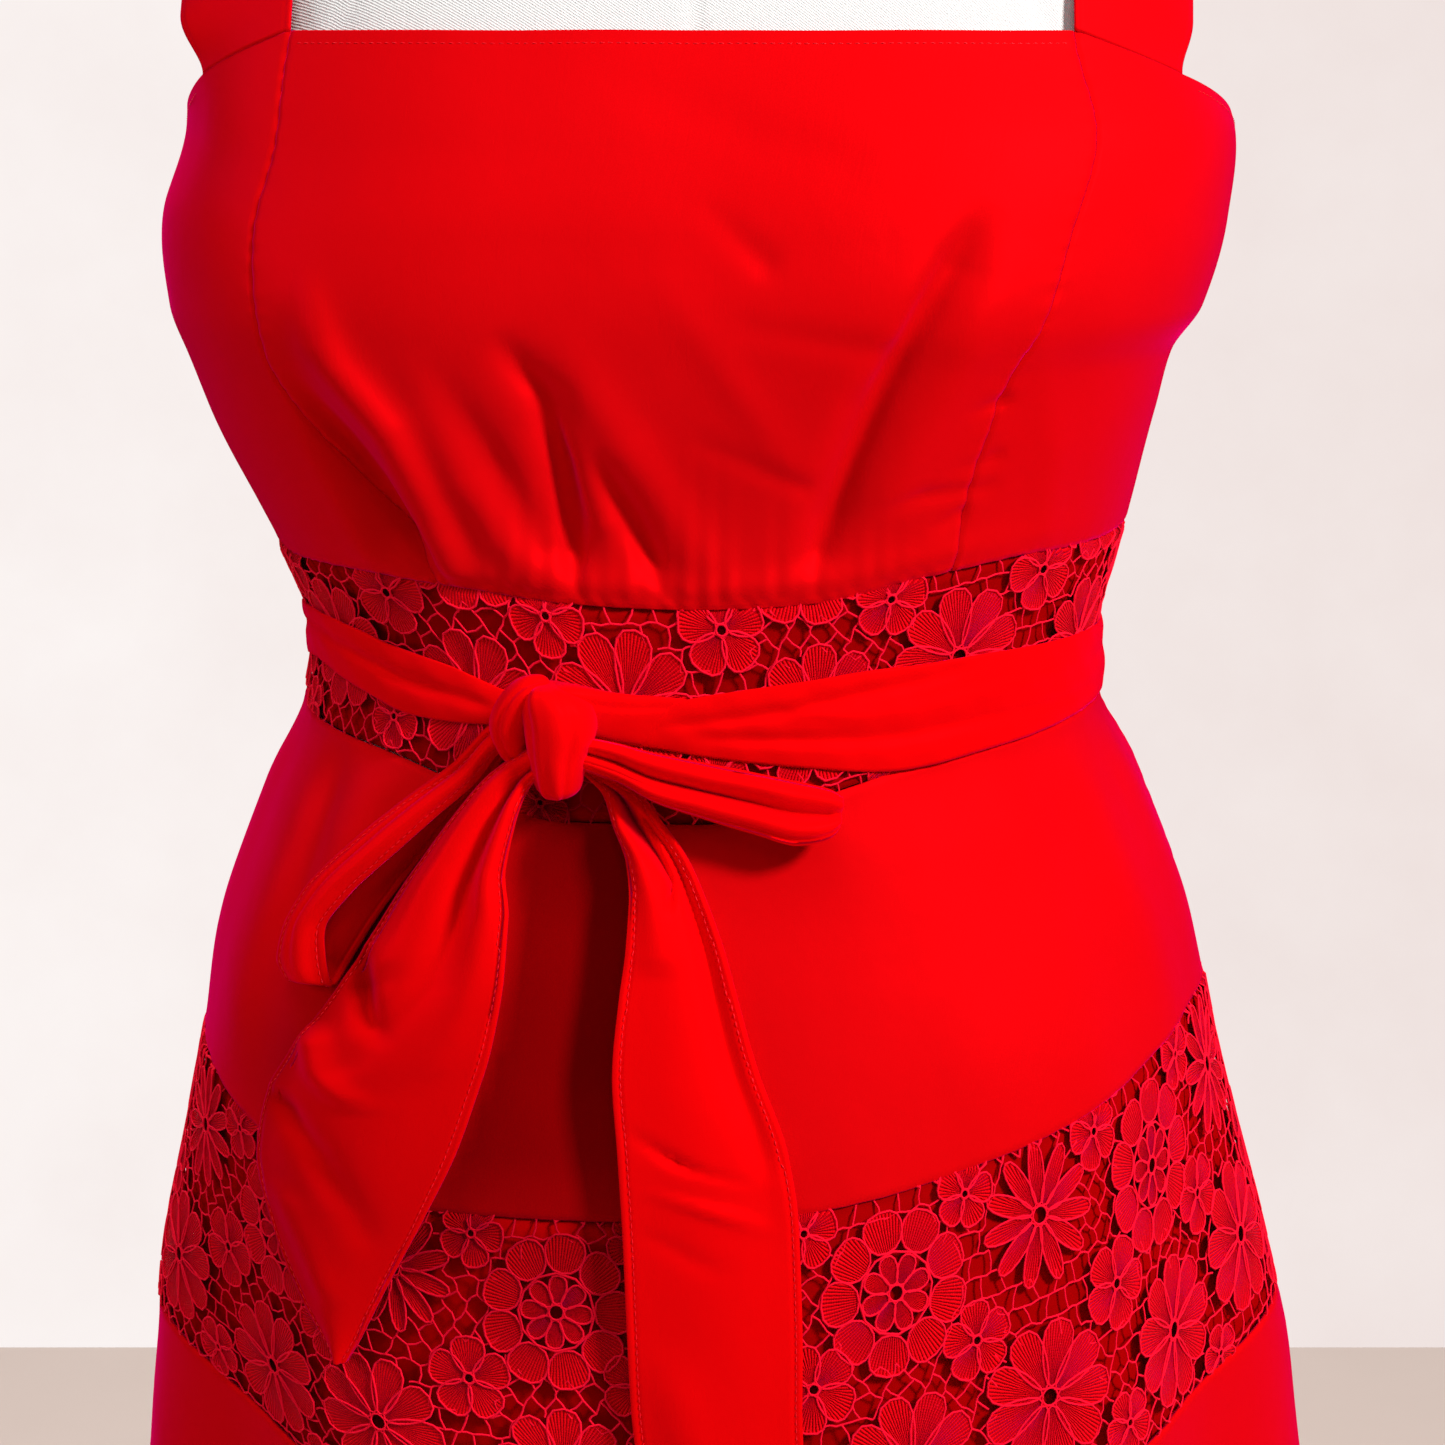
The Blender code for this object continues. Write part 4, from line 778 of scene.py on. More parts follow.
def petal_paths(flowers, ring, stations_round, widths):
    """Flat points of one ring's petals. A station runs from the petal's base to its tip and back: along the
    petal it moves as a cosine, across it as a sine that is drawn in towards the base. Widths scales the
    shape across, so that 1 gives the outline and less gives lines inside it."""
    along, up, radius, kind, turn, lift = flowers
    which, petals, start, end, half_width, tip_bias = ring
    own = kind == which
    each = (column[own, None, None, None] for column in (along, up, radius, turn, lift))
    along, up, radius, turn, lift = each
    spin = turn + 2 * math.pi * np.arange(int(petals))[:, None, None] / petals
    out = (start + end) / 2 - (end - start) / 2 * np.cos(stations_round)
    share = (1 - np.cos(stations_round)) / 2
    side = np.sin(stations_round)
    drawn_in = 1 - tip_bias + tip_bias * PETAL_TIP * share
    side = half_width * np.sign(side) * np.abs(side) ** PETAL_BLUNTNESS * drawn_in
    out = out[:, None] + 0.0 * widths[None, :]
    side = side[:, None] * widths[None, :]
    x = along + radius * (out * np.cos(spin) - side * np.sin(spin))
    y = up + radius * (out * np.sin(spin) + side * np.cos(spin))

    def at_every_point(values):
        """Values spread over the points, one petal after another."""
        return np.broadcast_to(values, x.shape).reshape(-1, len(stations_round), len(widths))

    reach = at_every_point(radius * np.hypot(out, side))
    ribs = at_every_point(np.arctan2(side, out)) * at_every_point(radius) * RIB_PITCH
    return np.stack([at_every_point(x), at_every_point(y)], axis=-1), at_every_point(lift), ribs, reach


def petal_faces(flowers, ring):
    """Petals as strips from base to tip, dished so that their edges stand higher than their middles."""
    along = np.linspace(0.04, math.pi - 0.04, PETAL_ALONG)
    across = np.linspace(-1.0, 1.0, PETAL_ACROSS)
    flat, lifts, ribs, reach = petal_paths(flowers, ring, along, across)
    lift = LACE_LIFT + lifts + PETAL_DISH * across[None, None, :] ** 2
    points = np.concatenate([flat, lift[..., None]], axis=-1)
    uv = np.stack([ribs, reach], axis=-1)
    return points, grid_quads(len(points), PETAL_ALONG, PETAL_ACROSS), uv


def cord_tubes(paths, lift, radius, closed):
    """Four-sided cords along flat paths: at each station a square on its corner, square to the path."""
    if closed:
        ahead = np.roll(paths, -1, axis=1) - np.roll(paths, 1, axis=1)
    else:
        ahead = np.gradient(paths, axis=1)
    ahead = unit(ahead)
    side = np.stack([-ahead[..., 1], ahead[..., 0]], axis=-1)
    turn = math.pi / 2 * np.arange(4)
    flat = paths[:, :, None, :] + radius * np.cos(turn)[None, None, :, None] * side[:, :, None, :]
    high = lift[:, :, None] + radius * np.sin(turn)[None, None, :]
    points = np.concatenate([flat, high[..., None]], axis=-1)
    return points, grid_quads(len(paths), paths.shape[1], 4, closed, True), flat


def petal_cords(flowers, ring):
    """The cord round each petal."""
    flat, lifts, _, _ = petal_paths(flowers, ring, full_circle(PETAL_ROUND), np.array([1.0]))
    return cord_tubes(flat[:, :, 0], LACE_LIFT + CORD_LIFT + lifts[:, :, 0], CORD_RADIUS, True)


def heart_cords(flowers, heart):
    """A small ring of cord in each flower of one kind."""
    along, up, radius, kind, _, lift = flowers
    own = kind == heart[0]
    turn = full_circle(HEART_ROUND)[None, :]
    size = radius[own, None] * heart[1]
    x = along[own, None] + size * np.cos(turn)
    y = up[own, None] + size * np.sin(turn)
    lifts = LACE_LIFT + HEART_LIFT + lift[own, None] + 0.0 * turn
    return cord_tubes(np.stack([x, y], axis=-1), lifts, CORD_RADIUS * 1.1, True)


def all_net_corners(centres):
    """Corners of every net cell: hexagons whose corners wander a little, alike for neighbours."""
    turn = np.radians(30.0 + 60.0 * np.arange(6))
    reach = NET_CELL / math.sqrt(3)
    along = centres[:, :1] + reach * np.cos(turn)
    up = centres[:, 1:] + reach * np.sin(turn)
    a, b = along / NET_CELL, up / NET_CELL
    wander = np.stack([np.sin(3.7 * a + 5.1 * b), np.sin(5.9 * a - 4.3 * b + 1.3)], axis=-1)
    return np.stack([along, up], axis=-1) + NET_JITTER * wander


def net_cords(flowers, length, height):
    """The net between the flowers: three edges of each cell, so that every edge comes once, each a cord
    that is a little bowed. Edges inside a flower are left out."""
    rows = np.arange(-1, int(height / (NET_CELL * NET_ROW)) + 3)
    steps = np.arange(-1, int(length / NET_CELL) + 3)
    row, step = np.meshgrid(rows, steps, indexing="ij")
    centres = np.stack([(step + 0.5 * (row % 2)) * NET_CELL, row * NET_CELL * NET_ROW], axis=-1)
    corners = all_net_corners(centres.reshape(-1, 2))
    start, end = corners[:, :3].reshape(-1, 2), corners[:, 1:4].reshape(-1, 2)
    middle = (start + end) / 2
    along, up, radius = flowers[:3]
    inside = np.hypot(middle[:, :1] - along, middle[:, 1:] - up) / radius
    open_ground = inside.min(axis=1) > NET_CLEAR_OF_FLOWER
    start, end, middle = start[open_ground], end[open_ground], middle[open_ground]
    run = end - start
    bow = np.stack([-run[:, 1], run[:, 0]], axis=-1)
    bow = bow * NET_BOW * np.sin(middle[:, :1] * 900.0 + middle[:, 1:] * 700.0)
    paths = np.stack([start, middle + bow, end], axis=1)
    lift = LACE_LIFT * 0.5 + 0.0002 * np.sin(paths[..., 0] * 1300.0)
    return cord_tubes(paths, lift, NET_RADIUS, False)


def on_band(flat, run, turns, height, foot, top):
    """Lays flat lace on the dress. What reaches past the band's edges is tucked behind its neighbours."""
    along, up, lift = columns(flat)
    angle = np.interp(along, run, turns)
    low, high = foot(angle), top(angle)
    level = low + (high - low) * up / height
    past = np.clip(np.maximum(-up, up - height) / TUCK_RUN + 0.4, 0.0, 1.0)
    tuck = LACE_TUCK * eased(past)
    normal = cloth_normal(angle, level)
    # The painted shade under the bow comes back too, for the thread's colour
    return cloth_point(angle, level) + normal * (lift - tuck)[..., None], painted_bow_shade(angle, level)


def lace_band(name, start, end, foot, top, offset):
    """Half a band of lace: petals with their cords, the net between them, all on one surface."""
    turns = np.linspace(start, end, LACE_STATIONS + 1)
    middle = cloth_point(turns, (foot(turns) + top(turns)) / 2)
    run = run_lengths(middle, 0)
    length, height = run[-1], float(np.mean(top(turns) - foot(turns)))
    flowers = flat_flowers(length, height, offset)
    parts = []
    for ring in PETAL_RINGS:
        parts.append((*petal_faces(flowers, ring), 0))
        parts.append((*petal_cords(flowers, ring), 1))
    for heart in HEART_RINGS:
        parts.append((*heart_cords(flowers, heart), 1))
    parts.append((*net_cords(flowers, length, height), 1))
    flat = np.concatenate([points.reshape(-1, 3) for points, _, _, _ in parts])
    uv = np.concatenate([where.reshape(-1, 2) for _, _, where, _ in parts])
    first = np.cumsum([0] + [points.size // 3 for points, _, _, _ in parts])
    quads = np.concatenate([part[1] + shift for part, shift in zip(parts, first)])
    finish_of = np.concatenate([np.full(len(part[1]), part[3]) for part in parts])
    centre = flat[quads].mean(axis=1)
    kept = (centre[:, 0] > 0) & (centre[:, 0] < length)
    kept &= (centre[:, 1] > -LACE_OVERLAP) & (centre[:, 1] < height + LACE_OVERLAP)
    points, painted_shade = on_band(flat, run, turns, height, foot, top)
    used, quads = np.unique(quads[kept], return_inverse=True)
    quads = quads.reshape(-1, 4)
    finishes = [lace_thread("lace_petals", ribbed=True), lace_thread("lace_cord", ribbed=False)]
    shown = (points[used], quads, finishes, [name], uv[used], finish_of[kept], painted_shade[used])
    return make_piece(name + "_threads", *shown), (float(length), height)


# The sash

# Long creases of the sash band: where each runs, as a share of the band's height from its middle
BAND_CREASES = np.array([
    # crease, angle, share, width, rise
    (0, -9.0, 0.0, 0.14, 0.0), (0, 4.0, 0.1, 0.1, -0.0011), (0, 22.5, 0.28, 0.07, -0.0013),
    (0, 41.7, 0.4, 0.07, -0.0007),
    (1, -2.0, -0.2, 0.12, -0.0006), (1, 12.0, -0.18, 0.08, -0.0014), (1, 35.8, -0.16, 0.08, -0.0014),
    (1, 55.5, -0.24, 0.09, -0.0008), (1, 80.0, -0.26, 0.12, 0.0),
    (2, 50.0, 0.1, 0.16, 0.0), (2, 90.0, 0.12, 0.14, -0.001), (2, 180.0, -0.05, 0.12, -0.0012),
    (2, 262.0, 0.1, 0.12, -0.001),
    (3, 268.0, 0.1, 0.14, -0.0004), (3, 293.0, 0.1, 0.12, -0.0012), (3, 318.0, 0.02, 0.12, -0.0013),
    (3, 331.0, -0.05, 0.16, -0.0006),
    (4, 5.0, 0.42, 0.1, 0.0), (4, 20.0, 0.05, 0.09, 0.0008), (4, 48.0, 0.1, 0.09, 0.0008),
    (4, 70.0, 0.14, 0.12, 0.0),
])


def band_creases(turn, across):
    """Long creases along the sash, each a bell across the band whose place and depth change along it."""
    out = 0.0 * (turn + across)
    for rows in stretches(BAND_CREASES):
        share, width, rise = (np.interp(turn, rows[:, 0], rows[:, i]) for i in (1, 2, 3))
        shown = within(turn, rows[0, 0], 4.0, rows[-1, 0], 4.0)
        out = out + shown * rise * bell(across - share, width)
    return out


def band_of_sash():
    """The sash round the waist: a strip with rounded edges, creased lengthways, standing on the lace."""
    turn = np.linspace(SASH_BAND[0, 0], SASH_BAND[-1, 0], BAND_TURNS)[None, :]
    across = np.linspace(-0.5, 0.5, BAND_ROWS)[:, None]
    level, height = columns(read_smooth(SASH_BAND, turn))
    round_off = 1.0 - (2 * np.abs(across)) ** 3.0 * 0.75
    stand = SASH_STAND + SASH_FULLNESS * round_off + band_creases(turn, across)
    stand = stand + 0.00012 * np.sin(turn * 0.9 + across * 9.0)
    points = off_cloth(np.radians(turn) + 0.0 * across, level + height * across, stand)
    piece = grid_piece("sash_band", points, sateen("sash_sateen"), cloth_uv(points))
    thicken(piece, SASH_FULLNESS * 0.4)


# Extra pleats and creases of loops and tails, in shares of their length and width
RIBBON_CREASES = {
    "sash_loop_left": np.array([
        # crease, along, across, width, rise
        (0, 0.0, 0.3, 0.1, -0.0018), (0, 0.25, 0.35, 0.09, -0.0016), (0, 0.48, 0.4, 0.1, -0.0006),
        (1, 0.04, 0.72, 0.1, 0.001), (1, 0.3, 0.7, 0.1, 0.0012), (1, 0.5, 0.62, 0.12, 0.0006),
        (2, 0.56, 0.3, 0.14, -0.001), (2, 0.8, 0.45, 0.12, -0.0016),
    ]),
    "sash_loop_right": np.array([
        (0, 0.0, 0.48, 0.09, -0.0018), (0, 0.25, 0.5, 0.08, -0.0024), (0, 0.45, 0.52, 0.1, -0.0012),
        (1, 0.05, 0.2, 0.1, 0.0008), (1, 0.35, 0.22, 0.12, 0.001),
        (2, 0.1, 0.8, 0.1, 0.001), (2, 0.42, 0.78, 0.12, 0.001),
        (3, 0.0, 0.72, 0.05, -0.001), (3, 0.2, 0.7, 0.05, -0.0012),
    ]),
    "sash_tail_left": np.array([
        (0, 0.0, 0.6, 0.12, -0.002), (0, 0.1, 0.64, 0.13, -0.0052), (0, 0.26, 0.62, 0.12, -0.006),
        (0, 0.42, 0.58, 0.12, -0.003), (0, 0.55, 0.4, 0.12, 0.0),
        (1, 0.04, 0.86, 0.1, 0.002), (1, 0.14, 0.88, 0.1, 0.0052), (1, 0.3, 0.86, 0.09, 0.0056),
        (1, 0.44, 0.84, 0.1, 0.0026), (1, 0.56, 0.76, 0.1, 0.0),
        (2, 0.02, 0.26, 0.12, 0.002), (2, 0.25, 0.28, 0.16, 0.0036), (2, 0.4, 0.24, 0.18, 0.002),
        (3, 0.34, 0.02, 0.08, -0.0024), (3, 0.41, 0.22, 0.07, -0.0048), (3, 0.49, 0.5, 0.07, -0.0022),
        (4, 0.45, 0.02, 0.09, 0.0038), (4, 0.53, 0.28, 0.09, 0.0036), (4, 0.6, 0.6, 0.1, 0.0016),
        (5, 0.56, 0.06, 0.09, -0.003), (5, 0.66, 0.4, 0.1, -0.0034), (5, 0.8, 0.78, 0.1, -0.001),
        (6, 0.7, 0.14, 0.12, 0.0026), (6, 0.86, 0.5, 0.16, 0.002),
    ]),
    "sash_tail_right": np.array([
        (0, 0.0, 0.34, 0.1, -0.004), (0, 0.07, 0.38, 0.16, -0.008), (0, 0.13, 0.42, 0.17, -0.0095),
        (0, 0.19, 0.5, 0.12, -0.009), (0, 0.25, 0.6, 0.07, -0.0055), (0, 0.31, 0.46, 0.06, -0.0008),
        (1, 0.02, 0.16, 0.13, 0.0026), (1, 0.16, 0.18, 0.13, 0.0046), (1, 0.26, 0.26, 0.16, 0.0036),
        (1, 0.4, 0.3, 0.22, 0.0012),
        (2, 0.1, 0.68, 0.12, -0.0028), (2, 0.24, 0.76, 0.1, -0.0042), (2, 0.44, 0.8, 0.09, -0.0034),
        (2, 0.6, 0.86, 0.09, -0.001),
        (3, 0.12, 0.94, 0.06, 0.0012), (3, 0.4, 0.95, 0.06, 0.0014), (3, 0.66, 0.94, 0.07, 0.0006),
        (4, 0.545, 0.04, 0.06, -0.0014), (4, 0.58, 0.4, 0.07, -0.0036), (4, 0.6, 0.8, 0.08, -0.0018),
        (5, 0.6, 0.1, 0.08, 0.0026), (5, 0.625, 0.55, 0.1, 0.0034), (5, 0.65, 0.9, 0.08, 0.0012),
        (6, 0.64, 0.08, 0.08, -0.0022), (6, 0.68, 0.6, 0.12, -0.0028),
        (7, 0.72, 0.2, 0.16, 0.0022), (7, 0.86, 0.5, 0.2, 0.002),
    ]),
}
RIBBON_STITCH_INSET = 0.0030
RIBBON_GROOVE = 0.00050
GROOVE_WIDTH = 0.0006
# How much painted shade darkens the folds, the inside of a loop and the lower part of the left tail, and how
# deep a fold has to be for all of it
FOLD_SHADE = 0.75
FOLD_SHADE_DEPTH = 0.008
LOOP_INSIDE_SHADE = 0.60
LOWER_TAIL_SHADE = 0.34


def ribbon_relief(name, along, across):
    """How far a loop or tail stands off its path: the solid's ridges, pleats that die out away from the
    knot, and creases that run along it as bells across."""
    _, _, ridges, rise, _, _, pleats, pleat_rise = RIBBON_FORMS[name]
    out = -rise * np.cos(2 * math.pi * ridges * across)
    from_knot = along if "tail" in name else np.minimum(along, 1.0 - along)
    out = out + pleat_rise * np.exp(-from_knot / 0.12) * np.sin(2 * math.pi * pleats * across + 0.6)
    for rows in stretches(RIBBON_CREASES[name]):
        place, width, push = (np.interp(along, rows[:, 0], rows[:, i]) for i in (1, 2, 3))
        start = np.clip((along - rows[0, 0]) / 0.03 + (rows[0, 0] < 0.06), 0.0, 1.0)
        end = fall_to(along, rows[-1, 0], 0.03)
        out = out + start * end * push * bell(across - place, width)
    return out


def ribbon_cloth(name):
    """A loop or tail of the bow: cloth between two edges, carried along the solid's own rows."""
    lengthways, crossways, _, _, lift, tilt, _, _ = RIBBON_FORMS[name]
    table = np.array(RIBBONS[name])
    numbered = np.column_stack([np.arange(len(table), dtype=float), table])
    share = np.linspace(0.0, 1.0, lengthways + 1)[:, None]
    edges = columns(read_smooth(numbered, share * (len(table) - 1.0)))
    angle_1, level_1, angle_2, level_2, stand = edges
    across = stations(crossways, 0.045)[None, :]
    angle = np.radians(angle_1 + (angle_2 - angle_1) * across)
    level = level_1 + (level_2 - level_1) * across
    relief = ribbon_relief(name, share, across)
    free = np.sin(math.pi * np.clip(share / 0.9, 0.0, 1.0))
    relief = relief + free * (lift + tilt * (across - 0.5))
    points = off_cloth(angle, level, stand + relief)
    width = run_lengths(points, 1)
    from_edge = np.minimum(width, width[:, -1:] - width)
    normal = unit(np.cross(np.gradient(points, axis=0), np.gradient(points, axis=1)))
    groove = RIBBON_GROOVE * bell(from_edge - RIBBON_STITCH_INSET, GROOVE_WIDTH)
    edge = SASH_CLOTH / 2 * (1.0 - 0.5 * bell(from_edge, 0.0008))
    outer = points + normal * (edge - groove)[..., None]
    inner = points - normal * (edge - groove)[..., None]
    uv = cloth_uv(points)
    # Painted shade: deeper in the folds, inside each loop past its turn, and on the lower part of the left
    # tail
    painted_shade = FOLD_SHADE * np.clip(-relief / FOLD_SHADE_DEPTH, 0.0, 1.0)
    if "loop" in name:
        painted_shade = np.maximum(painted_shade, LOOP_INSIDE_SHADE * rise_from(share, 0.52, 0.05))
    if name == "sash_tail_left":
        lower = rise_from(share, 0.40, 0.35) * (1.0 - 0.5 * across)
        painted_shade = np.maximum(painted_shade, LOWER_TAIL_SHADE * lower)
    return outer, inner, uv, points, normal, painted_shade


def walls(down, across):
    """Faces of a closed wall between two equal grids: the face, the back turned round, and four rims."""
    count = down * across
    face = grid_quads(1, down, across)
    index = np.arange(count).reshape(down, across)
    rims = []
    for rim in (index[0], index[-1][::-1], index[:, -1], index[::-1, 0]):
        a, b = rim[:-1], rim[1:]
        rims.append(np.stack([b, a, a + count, b + count], axis=-1))
    return np.concatenate([face, face[:, ::-1] + count, *rims])


def bow():
    """The loops and tails, each a closed wall of cloth with a stitched edge."""
    laid = {}
    for name in RIBBONS:
        outer, inner, uv, points, normal, painted_shade = ribbon_cloth(name)
        both, cloth = np.stack([outer, inner]), [sateen("sash_sateen")]
        # Painted shade for both faces of the wall
        twice, painted_shade_twice = np.stack([uv, uv]), np.stack([painted_shade, painted_shade])
        quads = walls(*outer.shape[:2])
        piece = make_piece(name + "_cloth", both, quads, cloth, [name], twice, painted_shade=painted_shade_twice)
        face_outwards(piece)
        laid[name] = (points, normal)
    return laid


def face_outwards(piece):
    """Turns a closed piece's faces outwards, if its own volume says that they face in."""
    mesh = piece.data
    co = np.empty(len(mesh.vertices) * 3)
    mesh.vertices.foreach_get("co", co)
    co = co.reshape(-1, 3)
    corner = np.empty(len(mesh.loops), dtype=int)
    mesh.loops.foreach_get("vertex_index", corner)
    a, b, c, d = co[corner.reshape(-1, 4)].transpose(1, 0, 2)
    volume = (a * np.cross(b, c)).sum() + (a * np.cross(c, d)).sum()
    if volume < 0:
        mesh.flip_normals()


KNOT_ROWS = 90
KNOT_TURNS = 120
KNOT_WRAP_SHIFT = 0.0015
KNOT_WRAP_PROUD = 0.0048
KNOT_WRAP_PLEATS = (
    # rise, place, lean, width
    (-0.0011, 0.3, 0.16, 0.17), (-0.0012, -0.84, 0.1, 0.1), (0.0008, -0.6, 0.1, 0.14),
)
KNOT_FOLD_ROWS = 70
KNOT_FOLD_TURNS = 56
# The two folds of the knot, measured from its middle: one goes up round its left side, the other leaves its
# top for the band on the right
KNOT_FOLDS = (
    np.array([
        # place, x, y, z, half_height, half_depth
        (0.0, -0.01, 0.006, -0.011, 0.004, 0.005), (1.0, -0.0155, 0.004, -0.004, 0.0058, 0.007),
        (2.0, -0.017, 0.002, 0.004, 0.0068, 0.008), (3.0, -0.014, 0.0, 0.0125, 0.0062, 0.0078),
        (4.0, -0.0085, -0.001, 0.0185, 0.005, 0.0066), (5.0, -0.001, 0.0, 0.021, 0.0036, 0.0045),
    ]),
    np.array([
        # place, x, y, z, half_height, half_depth
        (0.0, -0.005, 0.0, 0.018, 0.003, 0.005), (1.0, 0.004, -0.002, 0.016, 0.0056, 0.007),
        (2.0, 0.013, 0.001, 0.0115, 0.008, 0.0062), (3.0, 0.0215, 0.0062, 0.0075, 0.009, 0.0042),
        (4.0, 0.031, 0.0092, 0.0052, 0.0092, 0.003), (5.0, 0.045, 0.012, 0.0044, 0.008, 0.0014),
        (6.0, 0.06, 0.0135, 0.0044, 0.006, 0.001),
    ]),
)


def knot_middle():
    """The knot's own middle, as the solid has it."""
    return off_cloth(np.array(KNOT_ANGLE), np.array(KNOT_LEVEL), np.array(KNOT_STAND))


def knot_wrap():
    """The cloth wrapped upright round the knot: the solid's rings joined smoothly, flattened in front, with
    a soft pleat on the right, an overlapping edge on the left and ends drawn in."""
    side = full_circle(KNOT_TURNS)[None, :]
    share = np.linspace(0.0, 1.0, KNOT_ROWS)[:, None]
    rings = np.column_stack([np.linspace(0.0, 1.0, len(KNOT_RINGS)), KNOT_RINGS])
    rise, shift, half_width, half_depth = columns(read_smooth(rings, share))
    from_end = np.minimum(share, 1.0 - share)
    drawn_in = np.sqrt(np.clip(1.0 - (1.0 - np.clip(from_end / 0.07, 0.0, 1.0)) ** 2, 0.004, 1.0))
    front = np.clip(-np.sin(side), 0.0, 1.0)
    across = np.cos(side)
    pleat = 0.0
    for rise_of, place, lean, width in KNOT_WRAP_PLEATS:
        pleat = pleat + rise_of * bell(across - place - lean * share, width) * front
    drag = 0.0003 * np.sin(7.0 * across + 5.0 * share) * front * (1.0 - share)
    push = pleat + drag
    x = shift + KNOT_WRAP_SHIFT + (half_width * 0.98 + push) * np.cos(side) * drawn_in
    deep = (half_depth + KNOT_WRAP_PROUD * front + push) * np.abs(np.sin(side)) ** 0.8
    y = deep * np.sign(np.sin(side)) * drawn_in
    return knot_middle() + np.stack([x, y, rise + 0.0 * side], axis=-1)


def knot_fold(path, twist):
    """One fold of the knot: an ellipse carried along a short path, upright to it, pleated and closed in at
    both ends. The pleats turn round the path by the twist."""
    share = np.linspace(0.0, 1.0, KNOT_FOLD_ROWS)[:, None]
    x, y, z, half_height, half_depth = columns(read_smooth(path, share * (len(path) - 1.0)))
    middle = np.stack([x, y, z], axis=-1)
    ahead = unit(np.gradient(middle, axis=0) * np.array([1.0, 0.0, 1.0]))
    up = np.stack([-ahead[..., 2], 0.0 * x, ahead[..., 0]], axis=-1)
    out = np.array([0.0, -1.0, 0.0])
    side = full_circle(KNOT_FOLD_TURNS)[None, :]
    close = np.sqrt(np.clip(1.0 - (2 * share - 1.0) ** 10, 0.01, 1.0))
    pleat = 1.0 + 0.07 * np.sin(3.0 * side + twist * share)
    pleat = pleat - 0.16 * bell(np.sin(side) - 0.2 - 0.5 * share, 0.16) * (np.cos(side) > 0)
    high = half_height * np.sin(side) * close * pleat
    deep = half_depth * np.cos(side) * close * pleat
    return knot_middle() + middle + high[..., None] * up + deep[..., None] * out


def tie_knot():
    """The knot's wrap and its two folds as one piece."""
    parts = [knot_wrap(), knot_fold(KNOT_FOLDS[0], 2.5), knot_fold(KNOT_FOLDS[1], -1.5)]
    first = np.cumsum([0] + [part.size // 3 for part in parts])
    faces = [grid_quads(1, *part.shape[:2], wrap_columns=True) for part in parts]
    quads = np.concatenate([own + shift for own, shift in zip(faces, first)])
    points = np.concatenate([part.reshape(-1, 3) for part in parts])
    cloth = [sateen("sash_sateen")]
    piece = make_piece("sash_knot_cloth", points, quads, cloth, ["sash_knot"], points[:, [0, 2]])


# Stitches

STITCH_LENGTH = 0.0022
STITCH_STEP = 0.0030
STITCH_RADIUS = 0.00022
STITCH_STAND = 0.00010
STITCH_STATIONS = 700
STITCH_LINES = []
# Heights above the hem, spans in radians under the bodice's upper edge, and how far under it
HEM_STITCHES = (0.020, 0.026)
EDGE_STITCHES = ((-0.985, 0.930), (1.20, 2 * math.pi - 1.27))
EDGE_STITCH_DROP = 0.0045


def stitch_line(points, normal):
    """Notes a line of stitches along a path of points. Each stitch is a spindle of three stations with four
    points round each, and stitches follow one another by equal steps along the path."""
    run = run_lengths(points, 0)
    count = int(run[-1] / STITCH_STEP)
    if count < 2:
        return
    begin = (np.arange(count) + 0.15) * STITCH_STEP
    along = begin[:, None] + STITCH_LENGTH * np.array([0.0, 0.5, 1.0])[None, :]
    read = [[np.interp(along, run, of[:, i]) for i in range(3)] for of in (points, normal)]
    centre, up = (np.stack(coordinates, axis=-1) for coordinates in read)
    up = unit(up)
    ahead = unit(np.gradient(centre, axis=1))
    side = unit(np.cross(ahead, up))
    thick = STITCH_RADIUS * np.array([0.35, 1.0, 0.35])[None, :, None, None]
    turn = math.pi / 2 * np.arange(4)[None, None, :, None]
    ring = np.cos(turn) * side[:, :, None, :] + np.sin(turn) * up[:, :, None, :]
    lift = up * (STITCH_STAND + STITCH_RADIUS * np.array([-0.8, 0.4, -0.8])[None, :, None])
    STITCH_LINES.append((centre + lift)[:, :, None, :] + thick * ring)


def sew():
    """All the stitches as one piece of thread."""
    points = np.concatenate(STITCH_LINES)
    quads = grid_quads(len(points), 3, 4, wrap_columns=True)
    make_piece("stitches", points, quads, [thread()], [])


def level_stitches(start, end, level):
    """A line of stitches round the dress at a level that may change with the angle."""
    angle = np.linspace(start, end, STITCH_STATIONS)
    points, _ = lay(angle[None, :], level(angle)[None, :], rolled=(False,) * 4)
    stitch_line(points[0], cloth_normal(angle, level(angle)))


# The dress form and its stand

FORM_ROWS = 100
FORM_TURNS = 240
FORM_SEAM = 0.0012
FORM_SEAM_WIDTH = 0.0022
FORM_ROUND = 0.004
FORM_SEAMS = (0.0, 52.0, -52.0, 90.0, -90.0, 138.0, -138.0, 180.0)
# In front the form is drawn in a little where the dress hides it, clear of the deepest folds
FORM_SHOWS = 1.255
FORM_CLEAR = 0.0045
# The form's armholes: a shallow scoop at each side
ARMHOLE_DEPTH = 0.014
ARMHOLE_LEVEL = 1.285
ARMHOLE_HEIGHT = 0.035
ARMHOLE_TURN = 28.0


def form_points(angle, level):
    """The form's skin: the dress's plain rings moved inwards by the ease at each level, and by a bell at
    each armhole."""
    ease = read_smooth(FORM_EASE, level)[..., 0]
    covered = fall_to(level, FORM_SHOWS, 0.03) * (np.cos(angle) > 0)
    from_side = bell(np.abs(turn_between(angle, 0.0)) - 90.0, ARMHOLE_TURN)
    scoop = ARMHOLE_DEPTH * from_side * bell(level - ARMHOLE_LEVEL, ARMHOLE_HEIGHT)
    ease = ease + FORM_CLEAR * eased(covered) + scoop
    normal = cloth_normal(angle, level, 0.0)
    return cloth_point(angle, level, 0.0) - normal * ease[..., None], normal


